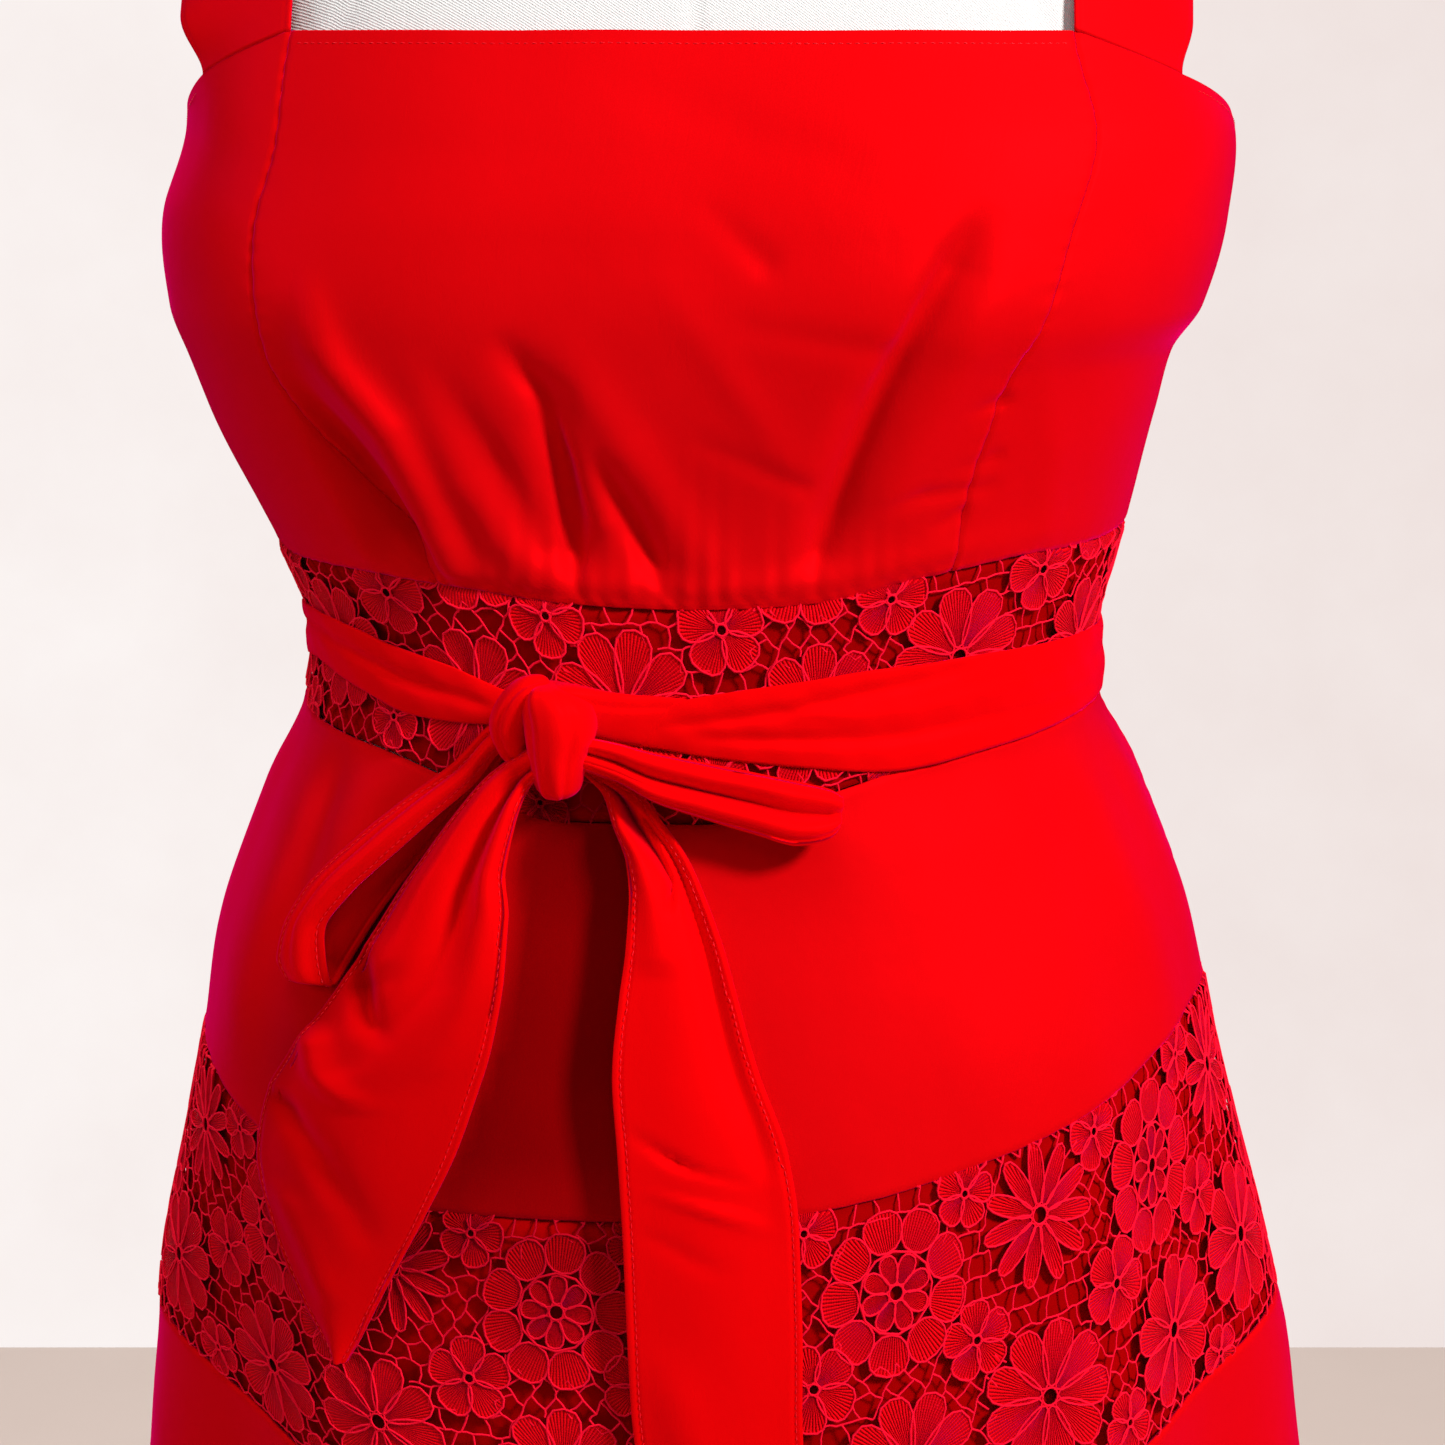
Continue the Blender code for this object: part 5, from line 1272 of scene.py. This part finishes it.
def dress_the_form():
    """The form's cover in canvas, sewn from upright panels: each seam is a fine groove, bell-shaped across.
    Three-cornered faces close its ends."""
    angle, level = np.meshgrid(full_circle(FORM_TURNS), np.linspace(FORM_FOOT, FORM_TOP, FORM_ROWS))
    points, normal = form_points(angle, level)
    sunk = np.zeros(angle.shape)
    for seam_angle in FORM_SEAMS:
        reach = np.hypot(points[..., 0], points[..., 1])
        away = np.radians(turn_between(angle, seam_angle)) * reach
        sunk = sunk + FORM_SEAM * bell(away, FORM_SEAM_WIDTH)
    from_end = np.minimum(level - FORM_FOOT, FORM_TOP - level)
    sunk = sunk + FORM_ROUND * fall_to(from_end, FORM_ROUND, FORM_ROUND) ** 2
    points = points - normal * sunk[..., None]
    quads = grid_quads(1, FORM_ROWS, FORM_TURNS, wrap_columns=True)
    ends = np.array([points[0].mean(axis=0), points[-1].mean(axis=0)])
    count, last = angle.size, angle.size - FORM_TURNS
    pairs = [(here, (here + 1) % FORM_TURNS) for here in range(FORM_TURNS)]
    caps = [(after, here, count) for here, after in pairs]
    caps += [(last + here, last + after, count + 1) for here, after in pairs]
    points = np.concatenate([points.reshape(-1, 3), ends])
    make_piece("form_cover", points, quads, [canvas()], ["form_torso"], caps=caps)


def lathe(name, corners, top, round_by, finish, replaced):
    """A turned piece: a profile of radius and level, from the axis out and back to it at the top, rounded at
    its corners and carried round the axis."""
    profile = [(NEARLY_AXIS, corners[0][1]), *corners, (NEARLY_AXIS, top)]
    radius, level = rounded(profile, round_by).T[..., None]
    angle = full_circle(LATHE_TURNS)[None, :]
    points = np.stack([radius * np.cos(angle), radius * np.sin(angle), level + 0.0 * angle], axis=-1)
    quads = grid_quads(1, len(radius), LATHE_TURNS, wrap_columns=True)
    face_outwards(make_piece(name, points, quads, [finish], [replaced]))


def rounded(corners, round_by):
    """A profile with each inner corner swept by a short curve: points on both sides of it, and between them
    the middle of the corner and its chord."""
    corners = np.array(corners, float)
    out = [corners[0]]
    for before, here, after in zip(corners[:-2], corners[1:-1], corners[2:]):
        reach = min(round_by, np.hypot(*(here - before)) / 2, np.hypot(*(after - here)) / 2)
        one = here + (before - here) / np.hypot(*(before - here)) * reach
        two = here + (after - here) / np.hypot(*(after - here)) * reach
        for t in (0.0, 0.25, 0.5, 0.75, 1.0):
            out.append((1 - t) ** 2 * one + 2 * t * (1 - t) * here + t**2 * two)
    out.append(corners[-1])
    return np.array(out)


def stand_and_cap():
    """Base plate, hub, pole and neck cap, turned and painted."""
    pole_foot, pole_top = HUB_TOP + SEAM_GAP, FORM_FOOT - SEAM_GAP
    cap_foot = FORM_TOP + SEAM_GAP
    base = [(BASE_RADIUS, 0.0), (BASE_RADIUS, BASE_THICKNESS)]
    hub = [
        (HUB_RADIUS, BASE_THICKNESS + SEAM_GAP),
        (HUB_RADIUS, BASE_THICKNESS + BASE_EDGE),
        (POLE_RADIUS + BASE_EDGE, HUB_TOP),
    ]
    pole = [(POLE_RADIUS, pole_foot), (POLE_RADIUS, pole_top)]
    cap = [(radius, cap_foot + NECK_CAP_HEIGHT * share) for radius, share in NECK_CAP_PROFILE]
    painted = painted_steel()
    lathe("stand_base_plate", base, BASE_THICKNESS, 0.003, painted, "stand_base")
    lathe("stand_hub_turned", hub, HUB_TOP, 0.002, painted, "stand_hub")
    lathe("stand_pole_tube", pole, pole_top, 0.001, painted, "stand_pole")
    lathe("neck_cap_turned", cap, cap_foot + NECK_CAP_HEIGHT, 0.003, painted, "form_neck_cap")


# Materials


def principled(name, colour, roughness):
    """A material with its shader, and the node tree and shader to build on."""
    made = bpy.data.materials.new(name)
    made.use_nodes = True
    tree = made.node_tree
    shader = tree.nodes["Principled BSDF"]
    shader.inputs["Base Color"].default_value = (*colour, 1.0)
    shader.inputs["Roughness"].default_value = roughness
    return made, tree, shader


def add(tree, kind, **values):
    """A node of a kind, with its settings and the values of its sockets."""
    node = tree.nodes.new(kind)
    for key, value in values.items():
        if key in node.inputs:
            node.inputs[key].default_value = value
        else:
            setattr(node, key, value)
    return node


def place_on(tree, socket, scale):
    """Coordinates from one socket of the texture coordinates, stretched by one scale or three."""
    where = add(tree, "ShaderNodeTexCoord")
    scale = scale if isinstance(scale, tuple) else (scale, scale, scale)
    stretch = add(tree, "ShaderNodeMapping", Scale=scale)
    tree.links.new(where.outputs[socket], stretch.inputs["Vector"])
    return stretch.outputs["Vector"]


def noise(tree, vector, scale, detail, rough):
    """Noise read at a vector."""
    node = add(tree, "ShaderNodeTexNoise", Scale=scale, Detail=detail, Roughness=rough)
    tree.links.new(vector, node.inputs["Vector"])
    return node.outputs["Fac"]


def grain(tree, socket, scale, detail, rough=0.5):
    """Noise over the object or over its flat cloth, at a scale."""
    return noise(tree, place_on(tree, socket, scale), 1.0, detail, rough)


def waves(tree, socket, scale, **settings):
    """Even waves over the object or over its flat cloth."""
    node = add(tree, "ShaderNodeTexWave", Scale=1.0, **settings)
    tree.links.new(place_on(tree, socket, scale), node.inputs["Vector"])
    return node.outputs["Fac"]


def bump(tree, height, distance, strength=1.0, under=None):
    """A bump from a height, on top of another bump where there is one."""
    node = add(tree, "ShaderNodeBump", Distance=distance, Strength=strength)
    tree.links.new(height, node.inputs["Height"])
    if under is not None:
        tree.links.new(under, node.inputs["Normal"])
    return node.outputs["Normal"]


def set_sockets(shader, **values):
    """Constants on the shader's sockets, with a low line for each space of their names."""
    for key, value in values.items():
        shader.inputs[key.replace("_", " ")].default_value = value


def finish_with(tree, shader, colour=None, normal=None):
    """Gives the shader its colour and its bump."""
    if colour is not None:
        tree.links.new(colour, shader.inputs["Base Color"])
    if normal is not None:
        tree.links.new(normal, shader.inputs["Normal"])


def mix_colours(node):
    """The two colour sockets of a mixing node."""
    return [socket for socket in node.inputs if socket.type == "RGBA"]


def between(tree, share, low, high):
    """A colour between two, by a share."""
    node = add(tree, "ShaderNodeMix", data_type="RGBA")
    for socket, colour in zip(mix_colours(node), (low, high)):
        socket.default_value = (*colour, 1.0)
    tree.links.new(share, node.inputs["Factor"])
    return next(socket for socket in node.outputs if socket.type == "RGBA")


RED_LIT = (0.760, 0.0020, 0.0040)
RED_DEEP = (0.640, 0.0008, 0.0020)
# The deep red that painted shade darkens the cloth and thread towards
RED_PAINTED_SHADE = (0.130, 0.0001, 0.0003)
SASH_LIT = (0.920, 0.0012, 0.0024)
SASH_DEEP = (0.790, 0.0006, 0.0014)
SHEEN_MAGENTA = (1.0, 0.0, 0.32)
DRESS_SHEEN = 0.50
SASH_SHEEN = 0.30


def with_painted_shade(tree, shader, colour, open_tone):
    """Gives the shader its colour, darkened by painted shade towards a deep red where the cloth lies under
    the bow, in deep folds and inside the loops.
    """
    depth = add(tree, "ShaderNodeAttribute", attribute_name="painted_shade")
    tone = between(tree, depth.outputs["Fac"], open_tone, RED_PAINTED_SHADE)
    if colour is not None:
        tree.links.new(colour, mix_colours(tone.node)[0])
    finish_with(tree, shader, tone)


def magenta_sheen(shader, weight, roughness):
    """The sheen where red cloth or thread turns away."""
    tint = (*SHEEN_MAGENTA, 1.0)
    set_sockets(shader, Sheen_Weight=weight, Sheen_Roughness=roughness, Sheen_Tint=tint)


@cache
def sateen(name):
    """Cotton sateen: a close weave with slubs along the thread, a slow unevenness of shade, soft wrinkles,
    and a magenta sheen where the cloth turns away."""
    on_sash = name == "sash_sateen"
    lit, deep = (SASH_LIT, SASH_DEEP) if on_sash else (RED_LIT, RED_DEEP)
    made, tree, shader = principled(name, lit, 0.50)
    weave = grain(tree, "UV", (3200.0, 900.0, 1.0), 2.0)
    slub = grain(tree, "UV", (900.0, 60.0, 1.0), 2.0)
    wrinkle = grain(tree, "Object", (26.0, 26.0, 20.0), 4.0)
    shade = grain(tree, "Object", (7.0, 7.0, 9.0), 3.0)
    # Painted shade deepens this colour under the bow and in the sash's folds
    with_painted_shade(tree, shader, between(tree, shade, deep, lit), lit)
    under = bump(tree, wrinkle, 0.0016, 0.45)
    under = bump(tree, slub, 0.00016, 0.30, under)
    finish_with(tree, shader, normal=bump(tree, weave, 0.00012, 0.30, under))
    set_sockets(
        shader, Metallic=0.18, Specular_IOR_Level=0.0, Specular_Tint=(1.0, 0.0, 0.25, 1.0)
    )
    magenta_sheen(shader, SASH_SHEEN if on_sash else DRESS_SHEEN, 0.35)
    return made


@cache
def lace_thread(name, ribbed):
    """Lace thread. Petals are ribbed: a wave across the ribs, crossed by finer ones, with painted shade
    between them.
    """
    lit = (0.94, 0.0020, 0.0080) if ribbed else (0.95, 0.0060, 0.0300)
    made, tree, shader = principled(name, lit, 0.62)
    twist = grain(tree, "Object", 1500.0, 2.0)
    under = bump(tree, twist, 0.00015, 0.5)
    if ribbed:
        ribs = waves(tree, "UV", (290.0, 0.0, 1.0), Distortion=0.0)
        rungs = waves(tree, "UV", (0.0, 330.0, 1.0), Distortion=0.0, bands_direction="Y")
        under = bump(tree, rungs, 0.00020, 0.5, under)
        under = bump(tree, ribs, 0.00060, 1.0, under)
        # Painted shade in the grooves between the ribs
        shade = between(tree, ribs, (0.58, 0.0004, 0.0020), lit)
        with_painted_shade(tree, shader, shade, lit)
    else:
        with_painted_shade(tree, shader, None, lit)
    finish_with(tree, shader, normal=under)
    set_sockets(shader, Specular_IOR_Level=0.04, Specular_Tint=(1.0, 0.10, 0.25, 1.0))
    magenta_sheen(shader, 0.12, 0.40)
    return made


@cache
def lining_cloth():
    """Thin plain lining in a darker red."""
    made, tree, shader = principled("lining_cloth", (0.34, 0.0003, 0.0010), 0.80)
    weave = grain(tree, "UV", (2400.0, 2400.0, 1.0), 2.0)
    shade = grain(tree, "Object", 14.0, 3.0)
    tint = between(tree, shade, (0.27, 0.0002, 0.0008), (0.41, 0.0004, 0.0013))
    finish_with(tree, shader, tint, bump(tree, weave, 0.00010, 0.3))
    set_sockets(shader, Specular_IOR_Level=0.0)
    return made


def canvas():
    """Off-white canvas in a twill: close diagonal ribs, crossed by uneven threads."""
    made, tree, shader = principled("form_canvas", (0.82, 0.82, 0.81), 0.85)
    ribs = waves(tree, "Object", 420.0, Distortion=1.2, Detail=2.0, bands_direction="DIAGONAL")
    threads = grain(tree, "Object", (1500.0, 1500.0, 260.0), 2.0)
    tint = between(tree, ribs, (0.72, 0.72, 0.71), (0.90, 0.90, 0.89))
    under = bump(tree, ribs, 0.0004, 0.5)
    finish_with(tree, shader, tint, bump(tree, threads, 0.0004, 0.5, under))
    return made


def painted_steel():
    """Painted steel with a faint orange-peel surface and slightly worn gloss."""
    made, tree, shader = principled("stand_paint", (0.70, 0.69, 0.66), 0.35)
    peel, worn = grain(tree, "Object", 420.0, 2.0), grain(tree, "Object", 18.0, 4.0)
    tint = between(tree, worn, (0.62, 0.61, 0.58), (0.74, 0.73, 0.70))
    finish_with(tree, shader, tint, bump(tree, peel, 0.0002, 0.25))
    return made


def thread():
    """Sewing thread, a little lighter than the cloth."""
    made, tree, shader = principled("sewing_thread", (0.86, 0.0040, 0.0120), 0.45)
    twist = grain(tree, "Object", 2600.0, 1.0)
    finish_with(tree, shader, normal=bump(tree, twist, 0.00008, 0.4))
    set_sockets(shader, Specular_Tint=(1.0, 0.3, 0.4, 1.0))
    return made


def floor_tone():
    """A plain pale surface with a faint mottle."""
    low, high = (0.55, 0.450, 0.400), (0.62, 0.515, 0.465)
    made, tree, shader = principled("floor_tone", high, 0.6)
    mottle = grain(tree, "Object", 2.2, 6.0, 0.6)
    finish_with(tree, shader, between(tree, mottle, low, high))
    return made


# The dress


def bodice():
    """Front panel between its curved seams, side panels and back panels."""
    foot = seam(BODICE_FOOT)
    left, right = princess_seam(0), princess_seam(1)
    left_side, right_side = straight_seam(-SIDE), straight_seam(SIDE)
    cloth = sateen("bodice_sateen")
    upper_free = (True, True, True, False)
    panels = (
        ("bodice_front", left, right, 170, 104),
        ("bodice_side_left", left_side, left, 54, 84),
        ("bodice_side_right", right, right_side, 60, 84),
        ("bodice_back_right", right_side, straight_seam(BACK), 60, 50),
        ("bodice_back_left", straight_seam(-BACK), left_side, 60, 50),
    )
    for name, start, end, across_by, up_by in panels:
        size = (across_by, up_by)
        piece, points = sewn_panel(name, cloth, start, end, foot, top_edge, *size, rolled=upper_free)


def skirt_parts():
    """Yoke and lower skirt, each a front and a back, with the lace bands between them."""
    waist_top, waist_foot = seam(BODICE_FOOT), seam(YOKE_TOP)
    lace_top, lace_foot = seam(YOKE_FOOT), seam(LACE_FOOT)
    yoke_cloth, skirt_cloth = sateen("yoke_sateen"), sateen("skirt_sateen")
    for half, start, end in (("front", -SIDE, SIDE), ("back", SIDE, SIDE + BACK)):
        sides = (straight_seam(start), straight_seam(end))
        shift = 0.0 if half == "front" else TILE / 3
        piece, points = sewn_panel(
            "yoke_" + half, yoke_cloth, *sides, lace_top, waist_foot, 120, 40, detail=False
        )
        how = {"detail": False, "rolled": (True, True, False, True)}
        lower = ("lower_skirt_" + half, skirt_cloth, *sides, hem, lace_foot, 110, 50)
        piece, points = sewn_panel(*lower, **how)
        for name, foot, top in (
            ("waist_lace_", waist_foot, waist_top),
            ("skirt_lace_", lace_foot, lace_top),
        ):
            piece, flat = lace_band(name + half, start, end, foot, top, shift)


LINING_INSET = 0.0006
LINING_TURNS, LINING_ROWS = 144, 17


def lining_tube(name, top, foot, spans):
    """A tube behind the lace, whose depth below the surface is read from its spans."""
    angle = np.linspace(0.0, 2 * math.pi, LINING_TURNS + 1)[None, :]
    share = np.linspace(0.0, 1.0, LINING_ROWS)[:, None]
    depth = read_smooth(spans, share)[..., 0] + LINING_INSET
    high, low = top(angle) - SEAM_GAP, foot(angle)
    level = high + (low - high) * share
    points = cloth_point(angle, level) - cloth_normal(angle, level) * depth[..., None]
    points = points[:, ::-1]
    piece = grid_piece(name, points, lining_cloth(), cloth_uv(points))
    thicken(piece, LINING)


def linings():
    """Waist lining and skirt lining."""
    shares = np.linspace(0.0, 1.0, 5)
    waist_spans = np.column_stack([shares, 0.0012 + 0.0006 * np.sin(math.pi * shares)])
    skirt_spans = np.array([(0.0, 0.0012), (0.12, 0.0016), (0.5, 0.0028), (1.0, 0.0040)])
    lining_tube("waist_lining", seam(BODICE_FOOT), seam(YOKE_TOP, -SEAM_GAP), waist_spans)
    lining_tube("skirt_lining", seam(YOKE_FOOT), seam(LACE_FOOT, 0.012), skirt_spans)


def ring_reach(x, y, level):
    """Below 1 inside the cloth's plain ring at a level, above 1 outside it."""
    lean, half_width, front, back, power = columns(read_smooth(SECTIONS, level))
    depth = np.where(y <= 0, front, back)
    return np.abs((x - lean) / half_width) ** power + np.abs(y / depth) ** power


# A reach that is past the figure on every side, and how often it is halved to find the surface
BEYOND_FIGURE = 0.4
HALVINGS = 40


def over_shoulder(x, turn, pivot):
    """Points where rays in an upright plane leave the figure: turn 0 points forwards, 90 degrees up."""
    near, far = np.zeros(np.shape(turn)), np.full(np.shape(turn), BEYOND_FIGURE)
    for _ in range(HALVINGS):
        half = (near + far) / 2
        inside = ring_reach(x, -half * np.cos(turn), pivot + half * np.sin(turn)) < 1
        near, far = np.where(inside, half, near), np.where(inside, far, half)
    return np.stack([x + 0.0 * near, -near * np.cos(turn), pivot + near * np.sin(turn)], axis=-1)


# How far each strap's outer edge stands out from the form above the bodice, and the share of the strap's
# length that it takes to get there
STRAP_FLARE = {"strap_left": -0.010, "strap_right": 0.005}
STRAP_FLARE_RUN = 0.12
STRAP_ROWS = 150
STRAP_STAND = 0.0004
STRAP_STITCH_INSET = 0.0022
STRAP_GROOVE = 0.0003
STRAP_EDGE_ROUND = 0.0006
STRAP_PIVOT = BACK_NECKLINE - 0.020


def strap_surface(name):
    """A strap's grid, from the bodice's front edge over the shoulder to its back edge, with its outer edge
    flared above the bodice."""
    inner_angle, outer_angle, inner_x, outer_x = STRAPS[name]
    share = stations(26, 0.042)
    angle = np.radians(inner_angle + (outer_angle - inner_angle) * share)
    front = cloth_point(angle, top_edge(angle))
    shoulder_x = inner_x + (outer_x - inner_x) * share
    lean, half_width, _, back, power = read_smooth(SECTIONS, BACK_NECKLINE)
    back_y = back * (1 - np.abs((shoulder_x - lean) / half_width) ** power) ** (1 / power)
    begin = np.arctan2(front[:, 2] - STRAP_PIVOT, -front[:, 1])
    finish = math.pi - np.arctan2(BACK_NECKLINE - STRAP_PIVOT, back_y)
    turn = begin + (finish - begin) * np.linspace(0.0, 1.0, STRAP_ROWS)[:, None]
    ease = eased(rise_from(turn, begin, math.pi / 2 - begin))
    points = over_shoulder(front[:, 0] + (shoulder_x - front[:, 0]) * ease, turn, STRAP_PIVOT)
    points[0] = front
    away = np.linspace(0.0, 1.0, STRAP_ROWS)[:, None]
    stands_out = eased(within(away, 0.0, STRAP_FLARE_RUN, 0.40, 0.25))
    points[..., 0] = points[..., 0] + STRAP_FLARE[name] * stands_out * share**2
    return points


def strap_cloth(name):
    """A broad strap, stitched in along both sides."""
    points = strap_surface(name)
    normal = unit(np.cross(np.gradient(points, axis=1), np.gradient(points, axis=0)))
    outward = points.mean(axis=(0, 1)) - np.array([0.0, 0.0, 0.06])
    facing = np.sign(((points - outward) * normal).sum())
    normal = normal * facing
    width = run_lengths(points, 1)
    from_edge = np.minimum(width, width[:, -1:] - width)
    groove = STRAP_GROOVE * bell(from_edge - STRAP_STITCH_INSET, GROOVE_WIDTH)
    edge = STRAP_EDGE_ROUND * bell(from_edge, 0.0009)
    points = points + normal * (STRAP_STAND - groove - edge)[..., None]
    if facing < 0:
        points, width = points[:, ::-1], width[:, ::-1]
    uv = np.stack([width, run_lengths(points, 0)], axis=-1)
    piece = grid_piece(name, points, sateen("bodice_sateen"), uv)
    thicken(piece, CLOTH)


def topstitching(ribbons):
    """Stitches: two lines at the hem, one under the bodice's edge in front and one round its back, and one
    inside each edge of the bow's tails and loops."""
    for up in HEM_STITCHES:
        level_stitches(0.0, 2 * math.pi, lambda angle: hem(angle) + up)
    for start, end in EDGE_STITCHES:
        level_stitches(start, end, lambda angle: top_edge(angle) - EDGE_STITCH_DROP)
    for points, normal in ribbons.values():
        width = run_lengths(points, 1)
        rows = np.arange(len(points))
        for from_left in (RIBBON_STITCH_INSET, width[:, -1:] - RIBBON_STITCH_INSET):
            column = np.abs(width - from_left).argmin(axis=1)
            out = normal[rows, column]
            stitch_line(points[rows, column] + out * SASH_CLOTH / 2, out)
    sew()


# The studio

FLOOR_SIDE = 2.6
FLOOR_BACK = 1.46


def studio():
    """A pale floor that ends behind the form, where the photograph's floor line is. No wall stands there,
    so the form can be looked at from behind too."""
    front = [(-FLOOR_SIDE, -FLOOR_SIDE, 0.0), (FLOOR_SIDE, -FLOOR_SIDE, 0.0)]
    back = [(FLOOR_SIDE, FLOOR_BACK, 0.0), (-FLOOR_SIDE, FLOOR_BACK, 0.0)]
    mesh = bpy.data.meshes.new("floor")
    mesh.from_pydata(front + back, [], [(0, 1, 2, 3)])
    mesh.materials.append(floor_tone())
    put_in_scene("floor", mesh)


LIGHTS = (
    # name, place, aimed_at, size, watts, colour
    ("key", (2.15, -1.80, 3.00), (0.0, 0.0, 1.05), 0.6, 130.0, (1.0, 0.98, 0.96)),
    ("front", (0.2, -2.4, 3.0), (0.0, 0.0, 1.10), 1.2, 9.0, (1.0, 0.99, 0.98)),
    ("above", (-0.5, -1.1, 3.6), (0.0, 0.0, 1.25), 1.2, 16.0, (1.0, 0.99, 0.98)),
    ("left", (-2.5, -0.5, 1.7), (0.0, 0.0, 1.0), 1.2, 17.0, (1.0, 0.94, 0.97)),
    ("right", (2.3, 0.4, 1.4), (0.0, 0.0, 1.0), 1.2, 8.0, (1.0, 0.92, 0.96)),
    ("behind", (-0.5, 1.9, 3.1), (0.0, 0.5, 0.4), 2.0, 74.0, (1.0, 0.985, 0.97)),
)


def lights():
    """Large soft lamps."""
    for name, place, aimed_at, size, watts, colour in LIGHTS:
        lamp = bpy.data.lights.new(name, "AREA")
        lamp.shape = "SQUARE"
        lamp.size = size
        lamp.energy = watts
        lamp.color = colour
        made = put_in_scene(name, lamp)
        made.location = place
        away = np.array(place) - np.array(aimed_at)
        flat = math.hypot(away[0], away[1])
        made.rotation_euler = (math.atan2(flat, away[2]), 0.0, math.atan2(away[0], -away[1]))


# The surround's change from left to right, its middle, and how strong its mottle is
SURROUND_TURN = 1.1
SURROUND_BASE = 0.20
SURROUND_MOTTLE = 0.75


def surround():
    """A faint even glow, and the pale plastered surround that is seen past the floor: a slow change from
    left to right with a soft mottle."""
    world = bpy.data.worlds.new("surround")
    world.use_nodes = True
    tree = world.node_tree
    glow = tree.nodes["Background"]
    glow.inputs["Color"].default_value = (1.0, 0.985, 0.97, 1.0)
    glow.inputs["Strength"].default_value = 0.08
    where = add(tree, "ShaderNodeTexCoord")
    parts = add(tree, "ShaderNodeSeparateXYZ")
    tree.links.new(where.outputs["Generated"], parts.inputs["Vector"])
    mottle = noise(tree, where.outputs["Generated"], 9.0, 8.0, 0.62)
    share = add(tree, "ShaderNodeMath", operation="MULTIPLY_ADD")
    mixed = add(tree, "ShaderNodeMath", operation="MULTIPLY_ADD", use_clamp=True)
    share.inputs[1].default_value = SURROUND_TURN
    share.inputs[2].default_value = SURROUND_BASE
    mixed.inputs[1].default_value = SURROUND_MOTTLE
    tree.links.new(parts.outputs["X"], share.inputs[0])
    tree.links.new(mottle, mixed.inputs[0])
    tree.links.new(share.outputs[0], mixed.inputs[2])
    seen = add(tree, "ShaderNodeBackground", Strength=1.0)
    tone = between(tree, mixed.outputs[0], (1.0, 0.955, 0.940), (0.850, 0.745, 0.720))
    tree.links.new(tone, seen.inputs["Color"])
    ray = add(tree, "ShaderNodeLightPath")
    either = add(tree, "ShaderNodeMixShader")
    tree.links.new(ray.outputs["Is Camera Ray"], either.inputs[0])
    tree.links.new(glow.outputs[0], either.inputs[1])
    tree.links.new(seen.outputs[0], either.inputs[2])
    tree.links.new(either.outputs[0], tree.nodes["World Output"].inputs["Surface"])
    bpy.context.scene.world = world


CAMERA_PLACE = (0.007, -1.12697, 1.300)
CAMERA_TILT = math.radians(90.0 - 14.0)
CAMERA_LENS = 69.196
CAMERA_SENSOR = 36.0


def camera():
    """The camera at the photograph's place."""
    lens = bpy.data.cameras.new("camera")
    lens.lens = CAMERA_LENS
    lens.sensor_width = CAMERA_SENSOR
    made = put_in_scene("camera", lens)
    made.location = CAMERA_PLACE
    made.rotation_euler = (CAMERA_TILT, 0.0, 0.0)
    bpy.context.scene.camera = made
    bpy.context.scene.view_settings.view_transform = "Standard"


camera()
studio()
lights()
surround()
dress_the_form()
stand_and_cap()
for strap_name in STRAPS:
    strap_cloth(strap_name)
bodice()
skirt_parts()
linings()
band_of_sash()
tie_knot()
topstitching(bow())
